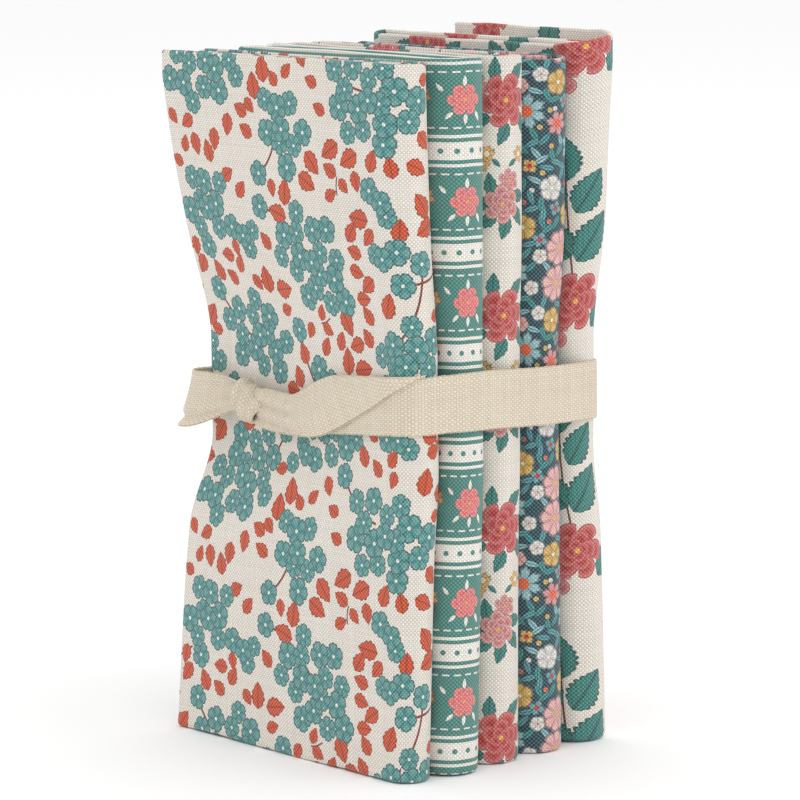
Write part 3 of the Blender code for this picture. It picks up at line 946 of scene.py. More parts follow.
class NodeSheet:
    """Short calls that add nodes to a tree."""

    def __init__(self, tree: bpy.types.NodeTree) -> None:
        """Works on a tree."""
        self.tree = tree

    def node(
        self, kind: str, *inputs: Value, named: Optional[dict[str, Value]] = None, **settings: object
    ) -> bpy.types.Node:
        """Adds a node.

        Args:
            kind: Its type.
            inputs: Values for its inputs, in order. None leaves one as it is.
            named: Values for its inputs, by name.
            settings: Its properties.

        Returns:
            The node.
        """
        made = self.tree.nodes.new(kind)
        for name, setting in settings.items():
            setattr(made, name, setting)
        for number, value in enumerate(inputs):
            self.feed(made.inputs[number], value)
        for name, value in (named or {}).items():
            self.feed(made.inputs[name], value)
        return made

    def first(
        self, kind: str, *inputs: Value, named: Optional[dict[str, Value]] = None, **settings: object
    ) -> Term:
        """The first output of a new node. The arguments are those of node."""
        return Term(self, self.node(kind, *inputs, named=named, **settings).outputs[0])

    def feed(self, socket: bpy.types.NodeSocket, value: Value) -> None:
        """Links a value to an input, or sets the input to it."""
        if isinstance(value, Term):
            self.tree.links.new(value.socket, socket)
        elif value is not None:
            socket.default_value = (*value, 1.0) if socket.type == "RGBA" else value

    def math(self, operation: str, *inputs: Value) -> Term:
        """The result of one step of arithmetic."""
        return self.first("ShaderNodeMath", *inputs, operation=operation)

    def vector(self, *parts: Value) -> Term:
        """A vector of up to three parts."""
        return self.first("ShaderNodeCombineXYZ", *parts)

    def separate(self, vector: Term) -> tuple[Term, ...]:
        """The three parts of a vector."""
        return tuple(Term(self, part) for part in self.node("ShaderNodeSeparateXYZ", vector).outputs)

    def mix(self, factor: Value, low: Value, high: Value, blend: str = "MIX") -> Term:
        """One colour mixed into another.

        Args:
            factor: How much of the second.
            low: The first colour.
            high: The second.
            blend: How they are mixed.

        Returns:
            The mixed colour.
        """
        made = self.node("ShaderNodeMix", data_type="RGBA", blend_type=blend)
        sockets = [socket for socket in made.inputs if socket.type == "RGBA"]
        for socket, value in zip((made.inputs[0], *sockets), (factor, low, high)):
            self.feed(socket, value)
        return Term(self, next(socket for socket in made.outputs if socket.type == "RGBA"))

    def bands(self, factor: Value, stops: Sequence[tuple[float, Colour]]) -> Term:
        """Sharp bands of colour.

        Args:
            factor: Where on the bands, from 0 to 1.
            stops: Where each band starts, with its colour.

        Returns:
            The colour.
        """
        made = self.node("ShaderNodeValToRGB", factor)
        ramp = made.color_ramp
        ramp.interpolation = "CONSTANT"
        ramp.elements[1].position = stops[1][0]
        for place, _ in stops[2:]:
            ramp.elements.new(place)
        for element, (place, tint) in zip(ramp.elements, stops):
            element.position = place
            element.color = (*tint, 1.0)
        return Term(self, made.outputs[0])

    def attribute(self, name: str, output: str) -> Term:
        """A piece's own attribute, read by the output of that name."""
        made = self.node("ShaderNodeAttribute", attribute_type="GEOMETRY", attribute_name=name)
        return Term(self, made.outputs[output])

    def cloth_place(self) -> Term:
        """The place on the unrolled cloth, in millimetres."""
        unrolled = self.first("ShaderNodeUVMap", uv_map="cloth")
        return self.first("ShaderNodeVectorMath", unrolled, named={"Scale": 1 / MM}, operation="SCALE")

    def bumped(self, height: Value, strength: float, distance: float) -> Term:
        """The normal of a surface with a fine relief."""
        relief = {"Strength": strength, "Distance": distance, "Height": height}
        return self.first("ShaderNodeBump", named=relief)


class GroupSocket(NamedTuple):
    """A socket on the outside of a group."""

    name: str
    kind: str
    default: object = None


FLOAT, VECTOR, COLOUR = "NodeSocketFloat", "NodeSocketVector", "NodeSocketColor"
GEOMETRY = "NodeSocketGeometry"


class NodeGroup:
    """A tree with named inputs, built once and used with each place's own values."""

    name = ""
    kind = "ShaderNodeTree"
    takes: tuple[GroupSocket, ...] = ()
    gives: tuple[GroupSocket, ...] = ()

    def __init__(self) -> None:
        """Builds the tree."""
        self.tree = bpy.data.node_groups.new(self.name, self.kind)
        for in_out, sockets in (("INPUT", self.takes), ("OUTPUT", self.gives)):
            for socket in sockets:
                made = self.tree.interface.new_socket(socket.name, in_out=in_out, socket_type=socket.kind)
                if socket.default is not None:
                    made.default_value = socket.default
        sheet = NodeSheet(self.tree)
        source = sheet.node("NodeGroupInput").outputs
        results = self.draw(sheet, {socket.name: Term(sheet, source[socket.name]) for socket in self.takes})
        sheet.node("NodeGroupOutput", *results)

    def draw(self, sheet: NodeSheet, given: dict[str, Term]) -> tuple[Term, ...]:
        """Draws the tree's nodes.

        Args:
            sheet: The tree's nodes.
            given: Its inputs by name.

        Returns:
            Its outputs in order.
        """
        raise NotImplementedError

    def place(self, sheet: NodeSheet, **values: Value) -> list[Term]:
        """Places the group in a material, given values for its inputs by name. Gives its outputs."""
        made = sheet.node("ShaderNodeGroup", named=values, node_tree=self.tree)
        return [Term(sheet, socket) for socket in made.outputs]


class RoseRing(NamedTuple):
    """A ring of a rose's petals. Sizes are over the rose's own."""

    petals: int
    start: float  # radians
    out: float  # from the rose's middle to the petals' middles
    size: float


class MotifGroup(NodeGroup):
    """Draws one motif over a ground, from numbers that each cell of the cloth holds."""

    name = "printed_motif"
    takes = tuple(
        GroupSocket(name, COLOUR if name in ("Ground", "Ink", "Body", "Accent") else VECTOR)
        for name in ("At", "Ground", "Ink", "Place", "Form", "Cut", "Body", "Accent")
    )
    gives = (GroupSocket("Colour", COLOUR),)
    ROSE_RINGS = (
        RoseRing(6, 0.0, 0.6, 0.4),
        RoseRing(5, 0.7, 0.36, 0.33),
        RoseRing(4, 0.2, 0.17, 0.23),
        RoseRing(3, 1.1, 0.06, 0.13),
    )
    PETAL_NOTCH = 0.14  # of the nicks in a flower's rim, over the depth between petals
    PETAL_SHADE = (0.42, 0.18, 0.2)  # towards the middle, along the streaks, and of the pale rim
    PARTING = (0.14, 0.3, 0.75)  # half width, where it starts, and how dark
    OUTLINE = (0.87, 0.7)  # where it starts and how dark
    ROSE_TINTS = (0.5, 0.55)  # of the outline at a petal's root, and of the accent at its tip
    ROSE_VEIN = (6.0, 0.8, 0.28)  # to a petal, where one starts, and how dark
    ROSE_RIM = (0.88, 0.62)
    ROSE_TWIST = 0.14  # of a petal
    ROSE_HEART = 0.09
    LEAF_TIP = (0.86, 0.34)  # its roundness, and how much narrower the leaf is there
    LEAF_TOOTH = (0.86, 0.2)  # half width between teeth and depth of a tooth, over the half width
    LEAF_VEIN = (0.06, 1.3, 3.0, 0.18, 0.6)  # rib's half width, slant, number, width and depth
    LEAF_RIM = (0.82, 0.8)

    def draw(self, sheet: NodeSheet, given: dict[str, Term]) -> tuple[Term, ...]:
        """Draws the nodes. See NodeGroup.draw."""
        centre_x, centre_y, angle = sheet.separate(given["Place"])
        kind, size, count = sheet.separate(given["Form"])
        depth, sharp, eye = sheet.separate(given["Cut"])
        at_x, at_y, _ = sheet.separate(given["At"])
        off_x, off_y = at_x - centre_x, at_y - centre_y
        cosine, sine = angle.cosine(), angle.sine()
        along = (off_x * cosine + off_y * sine) / size
        aside = (off_y * cosine - off_x * sine) / size
        radius = (along * along + aside * aside).root()
        turned = aside.step("ARCTAN2", along)
        body, accent, ink = given["Body"], given["Accent"], given["Ink"]
        drawn = {
            MotifKind.FLOWER: self.flower(radius, turned, (count, depth, sharp, eye), (body, accent, ink)),
            MotifKind.ROSE: self.rose(radius, turned, (body, accent, ink)),
            MotifKind.LEAF: self.leaf(along, aside, (count, depth), (body, accent)),
            MotifKind.STEM: self.stem(radius, turned, (size, depth, sharp), body),
        }
        colour = given["Ground"]
        for motif_kind, (mask, tint) in drawn.items():
            colour = (mask * kind.step("COMPARE", float(motif_kind), 0.1)).mix(colour, tint)
        return (colour,)

    def flower(
        self, radius: Term, turned: Term, form: tuple[Term, ...], inks: tuple[Term, ...]
    ) -> tuple[Term, Term]:
        """A flower's mask and colour.

        Args:
            radius: Distance from its middle, over its size.
            turned: Angle round its middle.
            form: Its petals, the depth between them, their roundness and its centre's size.
            inks: Body, accent and outline.

        Returns:
            The mask and the colour.
        """
        count, depth, sharp, eye = form
        body, accent, ink = inks
        inward, streaked, pale = self.PETAL_SHADE
        swing = turned * count * 0.5
        petal = abs(swing.cosine())
        rim = 1.0 - depth * (1.0 - petal**sharp)
        wave = (swing * 6.0).cosine()
        to_rim = radius / (rim - (1.0 - wave) * (depth * self.PETAL_NOTCH))
        tint = ((1.0 - to_rim) * inward + wave * streaked).mix(body, ink)
        tint = (petal * petal * to_rim * pale).mix(tint, Inks.WHITE)
        lobed = depth.step("SIGN")
        parting = (petal < self.PARTING[0]) * (radius > self.PARTING[1]) * lobed * self.PARTING[2]
        outline = (to_rim > self.OUTLINE[0]) * lobed * self.OUTLINE[1]
        return to_rim < 1.0, (radius < eye).mix(parting.greater(outline).mix(tint, ink), accent)

    def rose(self, radius: Term, turned: Term, inks: tuple[Term, ...]) -> tuple[Term, Term]:
        """A rose's mask and colour, ring by ring of petals. See flower, whose form it does without."""
        body, accent, ink = inks
        veins, vein_from, vein_tone = self.ROSE_VEIN
        tints = zip(self.ROSE_TINTS, (ink, accent))
        root, tip = (radius.sheet.mix(part, body, other) for part, other in tints)
        colour, mask = ink, 0.0
        for ring in self.ROSE_RINGS:
            sector = 2 * math.pi / ring.petals
            counted = (turned + ring.start) / sector
            off = ((counted + 10.0).fraction() - 0.5 - self.ROSE_TWIST) * sector
            square = radius * radius + ring.out * ring.out - radius * (2 * ring.out) * off.cosine()
            part = square.greater(0.0).root() / ring.size
            vein = (off * (veins * ring.petals)).cosine() > vein_from
            tint = (vein * vein_tone).mix((part * part).mix(root, tip), ink)
            tint = ((part > self.ROSE_RIM[0]) * self.ROSE_RIM[1]).mix(tint, ink)
            inside = part < 1.0
            colour = inside.mix(colour, tint)
            mask = inside.greater(mask)
        return mask, (radius < self.ROSE_HEART).mix(colour, Inks.MUSTARD)

    def leaf(
        self, along: Term, aside: Term, form: tuple[Term, ...], inks: tuple[Term, ...]
    ) -> tuple[Term, Term]:
        """A leaf's mask and colour.

        Args:
            along: Place along it, from -1 to 1.
            aside: Place across it on the same scale.
            form: Its teeth and its half width.
            inks: Body and vein.

        Returns:
            The mask and the colour.
        """
        count, depth = form
        tip, taper = self.LEAF_TIP
        rib, slant, veins, vein_width, vein_tone = self.LEAF_VEIN
        half = depth * (1.0 - along * along).greater(0.0) ** tip * (1.0 - along * taper)
        half = half * (self.LEAF_TOOTH[0] + abs((along * count).sine()) * self.LEAF_TOOTH[1])
        wide = abs(aside)
        to_rim = wide / half
        side = ((along - wide * slant) * veins).fraction() < vein_width
        line = (wide < rib).greater(side * vein_tone).greater(to_rim > self.LEAF_RIM[0])
        mask = (to_rim < 1.0) * (abs(along) < 1.0)
        return mask, (line * self.LEAF_RIM[1]).mix(*inks)

    def stem(self, radius: Term, turned: Term, form: tuple[Term, ...], body: Term) -> tuple[Term, Term]:
        """A stem's mask and colour, from its size, half angle and half width. See flower."""
        size, half_angle, half_width = form
        return (abs(radius - 1.0) * size < half_width) * (abs(turned) < half_angle), body


class WeaveGroup(NodeGroup):
    """A plain weave: its height, each thread's tone, the holes, and which of the two threads is on top."""

    name = "plain_weave"
    takes = (GroupSocket("At", VECTOR), GroupSocket("Warp", FLOAT, 0.4), GroupSocket("Weft", FLOAT, 0.4))
    gives = tuple(GroupSocket(name, FLOAT) for name in ("Height", "Tone", "Holes", "Over"))
    HOLE = (0.3, 0.47)  # where one starts and is deepest, over the pitch

    def draw(self, sheet: NodeSheet, given: dict[str, Term]) -> tuple[Term, ...]:
        """Draws the nodes. See NodeGroup.draw."""
        at_x, at_y, _ = sheet.separate(given["At"])
        bulges, numbers, offs = [], [], []
        for place, pitch in ((at_x, given["Warp"]), (at_y, given["Weft"])):
            counted = place / pitch
            off = counted.fraction() - 0.5
            numbers.append(counted.step("FLOOR"))
            offs.append(abs(off))
            bulges.append((off * math.pi).cosine())
        parity = (numbers[0] + numbers[1]).step("PINGPONG", 1.0)
        heights = [own * (other * 0.5 + 0.5) for own, other in (bulges, bulges[::-1])]
        tones = [
            sheet.first("ShaderNodeTexWhiteNoise", sheet.vector(number, seed), noise_dimensions="2D")
            for number, seed in zip(numbers, (0.5, 7.8))
        ]
        height, tone = (
            low * (1.0 - parity) + high * parity for low, high in (heights[::-1], tones[::-1])
        )
        corner = offs[0].lesser(offs[1])
        smooth = {"interpolation_type": "SMOOTHSTEP"}
        holes = sheet.first("ShaderNodeMapRange", corner, *self.HOLE, 0.0, 1.0, **smooth)
        return height, tone, holes, parity


# Finishes --------------------------------------------------------------------------------------


@dataclass(frozen=True)
class ShaderKit:
    """The shared shader groups."""

    motif: MotifGroup
    weave: WeaveGroup


@dataclass(frozen=True)
class Finish:
    """What all the finishes share: a name, and a main shader whose inputs each finish gives."""

    name: str

    def material(self) -> bpy.types.Material:
        """Makes the material."""
        made = bpy.data.materials.new(self.name)
        made.use_nodes = True
        sheet = NodeSheet(made.node_tree)
        shader = made.node_tree.nodes["Principled BSDF"]
        for name, value in self.inputs(sheet).items():
            sheet.feed(shader.inputs[name], value)
        return made

    def inputs(self, sheet: NodeSheet) -> dict[str, Value]:
        """Draws the finish's nodes and gives values for the main shader's inputs, by name."""
        raise NotImplementedError


@dataclass(frozen=True)
class CottonFinish(Finish):
    """Printed quilting cotton: the print over a fine plain weave, paler on its reverse."""

    printed: Print
    kit: ShaderKit
    thread_pitch: float = 0.5  # millimetres
    thread_tone: float = 0.12  # how much the threads differ
    over_tone: float = 0.28  # how much warp and weft differ
    mean_tone: float = 1.06
    missed_ink: float = 0.1  # how much of the bare cloth shows where the weft is on top
    hole_shade: float = 0.85  # how dark the painted shade in the gaps between the threads is
    reverse_fade: float = 0.62
    sheen: float = 0.2
    bump_distance: float = 0.1 * MM
    bump_strength: float = 0.8

    def inputs(self, sheet: NodeSheet) -> dict[str, Value]:
        """Draws the print and the weave. See Finish.inputs."""
        at = sheet.cloth_place()
        colour = self.printed.ground_colour(sheet, at)
        for layer in reversed(range(self.printed.layers)):
            read = {name.title(): sheet.attribute(f"{name}_{layer}", "Vector") for name in LaidPrint.NAMES}
            colour = self.kit.motif.place(sheet, At=at, Ground=colour, Ink=self.printed.ink, **read)[0]
        pitch = self.thread_pitch
        height, tone, holes, over = self.kit.weave.place(sheet, At=at, Warp=pitch, Weft=pitch)
        colour = (over * self.missed_ink).mix(colour, Inks.WHITE)
        faded = sheet.mix(self.reverse_fade, colour, Inks.CREAM)
        colour = sheet.attribute("reverse", "Fac").mix(colour, faded)
        level = self.mean_tone - (self.thread_tone + self.over_tone) / 2
        worn = tone * self.thread_tone + over * self.over_tone + level
        # the threads' own tone, darkened by painted shade in the holes between the threads
        tone_and_hole_shade = worn * (1.0 - holes * self.hole_shade)
        return {
            "Base Color": sheet.mix(1.0, colour, sheet.vector(tone_and_hole_shade, tone_and_hole_shade, tone_and_hole_shade), "MULTIPLY"),
            "Roughness": 0.95 - height * 0.12,
            "Normal": sheet.bumped(height, self.bump_strength, self.bump_distance),
            "Sheen Weight": self.sheen,
            "Sheen Roughness": 0.5,
            "Specular IOR Level": 0.25,
        }


@dataclass(frozen=True)
class ThreadFinish(Finish):
    """Loose cotton thread, uneven in tone."""

    tint: Colour
    shade: Colour
    cloud: float = 900.0  # per metre

    def inputs(self, sheet: NodeSheet) -> dict[str, Value]:
        """Draws the thread. See Finish.inputs."""
        place = Term(sheet, sheet.node("ShaderNodeTexCoord").outputs["Object"])
        cloudy = sheet.first("ShaderNodeTexNoise", place, named={"Scale": self.cloud})
        return {
            "Base Color": cloudy.mix(self.tint, self.shade),
            "Roughness": 0.98 - cloudy * 0.1,
            "Specular IOR Level": 0.2,
        }


@dataclass(frozen=True)
class TapeFinish(Finish):
    """Natural cotton tape in a coarse plain weave."""

    kit: ShaderKit
    tint: Colour = linear(244, 233, 214)
    # the threads' darker tone, and the colour of the painted shade in the holes of the weave
    shade: Colour = linear(150, 126, 90)
    edge: Colour = linear(222, 206, 178)
    warp: float = 0.52  # millimetres between its long threads
    weft: float = 0.78  # millimetres between its cross threads
    thread_tone: float = 0.12
    cloud_tone: float = 0.1
    over_tone: float = 0.2
    cloud: float = 0.35  # per millimetre
    bump_distance: float = 0.24 * MM
    bump_strength: float = 0.7

    def inputs(self, sheet: NodeSheet) -> dict[str, Value]:
        """Draws the tape's weave. See Finish.inputs."""
        at = sheet.cloth_place()
        height, tone, holes, over = self.kit.weave.place(sheet, At=at, Warp=self.weft, Weft=self.warp)
        cloudy = sheet.first("ShaderNodeTexNoise", at, named={"Scale": self.cloud}, noise_dimensions="2D")
        worn = tone * self.thread_tone + cloudy * self.cloud_tone + over * self.over_tone
        return {
            # The holes between the threads take the shade colour: painted shade where the weave is open.
            "Base Color": holes.mix(worn.mix(self.tint, self.shade), self.shade),
            "Roughness": 0.96 - height * 0.1,
            "Normal": sheet.bumped(height - holes * 0.5, self.bump_strength, self.bump_distance),
            "Sheen Weight": 0.15,
            "Specular IOR Level": 0.2,
        }


@dataclass(frozen=True)
class PaperFinish(Finish):
    """Plain matt paper."""

    tint: float

    def inputs(self, sheet: NodeSheet) -> dict[str, Value]:
        """Gives the paper's tint. See Finish.inputs."""
        return {"Base Color": (self.tint,) * 3, "Roughness": 0.9, "Specular IOR Level": 0.1}


# Cloth -----------------------------------------------------------------------------------------


@dataclass
class ClothShell:
    """A sheet of cloth as a grid of points, made a closed thin shell whose print side faces out."""

    points: Array  # lines, rows, 3: the middle of the cloth's thickness
    along: Array  # lines: place along the cloth's length
    up: Array  # rows: place along its width
    line_room: Array  # lines: share of the baked picture that each asks for
    row_room: Array
    thickness: float
    slant: Optional[Array] = None  # lines, rows: how far each point's weave is shifted along
    margin: float = 0.005  # of the baked picture, for the rims
    sharp_angle: float = math.radians(60)
    BAKED_WIDE: ClassVar[Place] = (0.01, 0.98)  # start and size on the baked picture
    BAKED_REVERSE: ClassVar[Place] = (0.01, 0.18)
    BAKED_PRINT: ClassVar[Place] = (0.22, 0.77)

    def build(self, name: str) -> bpy.types.Object:
        """Makes the mesh with its two maps.

        Args:
            name: The piece's name.

        Returns:
            The piece, at the origin.
        """
        lines, rows = self.points.shape[:2]
        normal = np.cross(np.gradient(self.points, axis=1), np.gradient(self.points, axis=0))
        off = unit(normal) * self.thickness / 2
        sides = np.stack([self.points + off, self.points - off])
        line, row, side, shift = self.corners(lines, rows)
        faces = (side * lines + line) * rows + row
        mesh = bpy.data.meshes.new(name)
        mesh.from_pydata(sides.reshape(-1, 3).tolist(), [], faces.tolist())
        self.line, self.row = line.min(axis=1), row.min(axis=1)
        self.behind = side.min(axis=1)
        cloth = mesh.uv_layers.new(name="cloth")
        shifted = self.along[line] + (0.0 if self.slant is None else self.slant[line, row])
        cloth.data.foreach_set("uv", np.stack([shifted, self.up[row]], axis=-1).ravel())
        baked = mesh.uv_layers.new(name="OFBake")
        across = self.spread(self.line_room)[line]
        tall = self.spread(self.row_room)[row]
        plain = side.min(axis=1, keepdims=True) == 1
        (from_x, wide), (low, reverse), (high, shown) = self.BAKED_WIDE, self.BAKED_REVERSE, self.BAKED_PRINT
        tall = np.where(plain, low + reverse * tall, high + shown * tall)
        places = np.stack([from_x + wide * across, tall], axis=-1) + shift * self.margin
        baked.data.foreach_set("uv", places.ravel())
        mesh.shade_smooth()
        mesh.set_sharp_from_angle(angle=self.sharp_angle)
        return new_object(name, mesh)

    def spread(self, room: Array) -> Array:
        """Places from 0 to 1 whose steps are as big as the rooms asked for."""
        steps = (room[1:] + room[:-1]) / 2
        return summed(steps) / steps.sum()

    def corners(self, lines: int, rows: int) -> tuple[Array, Array, Array, Array]:
        """The corners of every face: the print side, the reverse, then the rims.

        Args:
            lines: How many lines the grid has.
            rows: How many rows.

        Returns:
            Line, row and side of each face's four corners, and their shift on the baked picture.
        """
        i, j = np.indices((lines - 1, rows - 1)).reshape(2, -1)
        front = (np.stack([i, i, i + 1, i + 1], 1), np.stack([j, j + 1, j + 1, j], 1))
        back = (front[0][:, ::-1], front[1][:, ::-1])
        level = np.zeros((len(i), 4, 2))
        found = [(*front, np.zeros_like(front[0]), level), (*back, np.ones_like(back[0]), level)]
        for count, still, by_line, outward in (
            (lines, 0, True, (0, -1)),
            (lines, rows - 1, True, (0, 1)),
            (rows, 0, False, (-1, 0)),
            (rows, lines - 1, False, (1, 0)),
        ):
            moving = np.arange(count - 1)
            forward = (still == 0) == by_line
            ahead, behind = (moving, moving + 1) if forward else (moving + 1, moving)
            varied = np.stack([ahead, behind, behind, ahead], 1)
            held = np.full_like(varied, still)
            side = np.tile(np.array((0, 0, 1, 1)), (count - 1, 1))
            shift = side[..., None] * np.array(outward, float)
            found.append((varied, held, side, shift) if by_line else (held, varied, side, shift))
        return tuple(np.concatenate([part[number] for part in found]) for number in range(4))

    def keep(self, piece: bpy.types.Object, name: str, cells: Array) -> None:
        """Keeps three numbers for each cell, on the faces of both sides.

        Args:
            piece: The piece that build made.
            name: The attribute's name.
            cells: Lines by rows by 3.
        """
        line = np.minimum(self.line, cells.shape[0] - 1)
        row = np.minimum(self.row, cells.shape[1] - 1)
        kept = piece.data.attributes.new(name, "FLOAT_VECTOR", "FACE")
        kept.data.foreach_set("vector", cells[line, row].astype(np.float32).ravel())

    def keep_reverse(self, piece: bpy.types.Object) -> None:
        """Keeps which faces are the cloth's reverse."""
        kept = piece.data.attributes.new("reverse", "FLOAT", "FACE")
        kept.data.foreach_set("value", self.behind.astype(np.float32))


@dataclass(frozen=True)
class LetterFold:
    """The fold in three over the cloth's width. Offsets are in pitches of the layers."""

    side: float = 0.36  # of the outer panel and the first flap from the layer's middle
    first_flap: float = 0.975  # height that the first flap reaches, over the fold's
    last_flap: float = 0.03  # height at which the last flap ends
    flap_rows: int = 12
    roll_rows: int = 7
    panel_rows: int = 117
    flap_room: float = 0.25

    def rows(self) -> dict[str, Array]:
        """Share of the height, offset, rolled part and room of every row."""
        turned = np.linspace(0, math.pi, self.roll_rows + 1)
        flap = np.linspace(self.first_flap, 0, self.flap_rows + 1)[:-1]
        panel = np.linspace(0, 1, self.panel_rows + 1)[1:-1]
        last = np.linspace(1, self.last_flap, self.flap_rows + 1)[1:]
        half = self.side / 2
        parts = (
            (flap, np.full_like(flap, -self.side), 0 * flap, self.flap_room),
            (0 * turned, -self.side * np.cos(turned), -self.side * np.sin(turned), 1.0),
            (panel, np.full_like(panel, self.side), 0 * panel, 1.0),
            (0 * turned + 1, half + half * np.cos(turned), half * np.sin(turned), 1.0),
            (last, 0 * last, 0 * last, self.flap_room),
        )
        names = ("share", "offset", "rolled")
        found = {name: np.concatenate([part[number] for part in parts]) for number, name in enumerate(names)}
        found["room"] = np.concatenate([np.full(len(part[0]), part[3]) for part in parts])
        return found


class Side(Enum):
    """The side of the bundle that a crease is on."""

    FRONT = "front"
    BACK = "back"
    SPINES = "spines"


class Crease(NamedTuple):
    """A soft trough or ridge in one cut, in millimetres of the tables."""

    place: float  # of its middle: x on the front and back, y on the spines
    height: float
    lean: float  # degrees from upright, towards +x or +y
    reach: float  # half its length
    width: float
    lift: float  # how far it stands out, or in where negative


CREASES = {
    (SPRIG_CUT, Side.FRONT): (
        Crease(-26.0, 108.0, 24.0, 24.0, 3.4, -0.55),
        Crease(-18.0, 112.0, -8.0, 26.0, 4.2, 0.5),
        Crease(-5.0, 106.0, -22.0, 20.0, 3.6, -0.45),
        Crease(14.0, 118.0, -14.0, 26.0, 5.5, 0.35),
        Crease(30.0, 104.0, 6.0, 16.0, 4.0, -0.4),
        Crease(-27.0, 62.0, -18.0, 22.0, 3.8, -0.5),
        Crease(-12.0, 56.0, 10.0, 24.0, 4.5, 0.45),
        Crease(6.0, 60.0, 20.0, 20.0, 4.0, -0.35),
        Crease(27.0, 52.0, -6.0, 24.0, 5.0, 0.3),
        Crease(-6.0, 150.0, 78.0, 26.0, 5.0, 0.3),
        Crease(8.0, 16.0, 84.0, 28.0, 5.0, -0.3),
    ),
    (LEAF_CUT, Side.BACK): (
        Crease(20.0, 108.0, 12.0, 22.0, 4.0, -0.5),
        Crease(4.0, 60.0, -14.0, 24.0, 4.4, 0.5),
        Crease(28.0, 58.0, 8.0, 20.0, 3.8, -0.4),
        Crease(-4.0, 118.0, -20.0, 22.0, 4.4, 0.4),
        Crease(12.0, 146.0, 72.0, 20.0, 4.6, 0.4),
    ),
    (STRIPE_CUT, Side.SPINES): (
        Crease(-17.0, 104.0, 6.0, 14.0, 3.0, -0.45),
        Crease(-16.0, 52.0, -4.0, 22.0, 3.4, 0.35),
        Crease(-18.0, 138.0, -4.0, 20.0, 3.2, 0.35),
    ),
    (ROSE_CUT, Side.SPINES): (
        Crease(-2.0, 70.0, 4.0, 16.0, 3.0, -0.45),
        Crease(-3.0, 124.0, -3.0, 22.0, 3.6, 0.4),
    ),
    (MEADOW_CUT, Side.SPINES): (
        Crease(12.0, 108.0, -5.0, 18.0, 3.0, -0.4),
        Crease(13.0, 44.0, 3.0, 24.0, 3.4, 0.35),
    ),
    (LEAF_CUT, Side.SPINES): (
        Crease(27.0, 66.0, -8.0, 18.0, 3.6, -0.5),
        Crease(28.0, 120.0, 6.0, 24.0, 4.4, 0.45),
        Crease(26.0, 26.0, 10.0, 18.0, 4.0, 0.35),
    ),
}


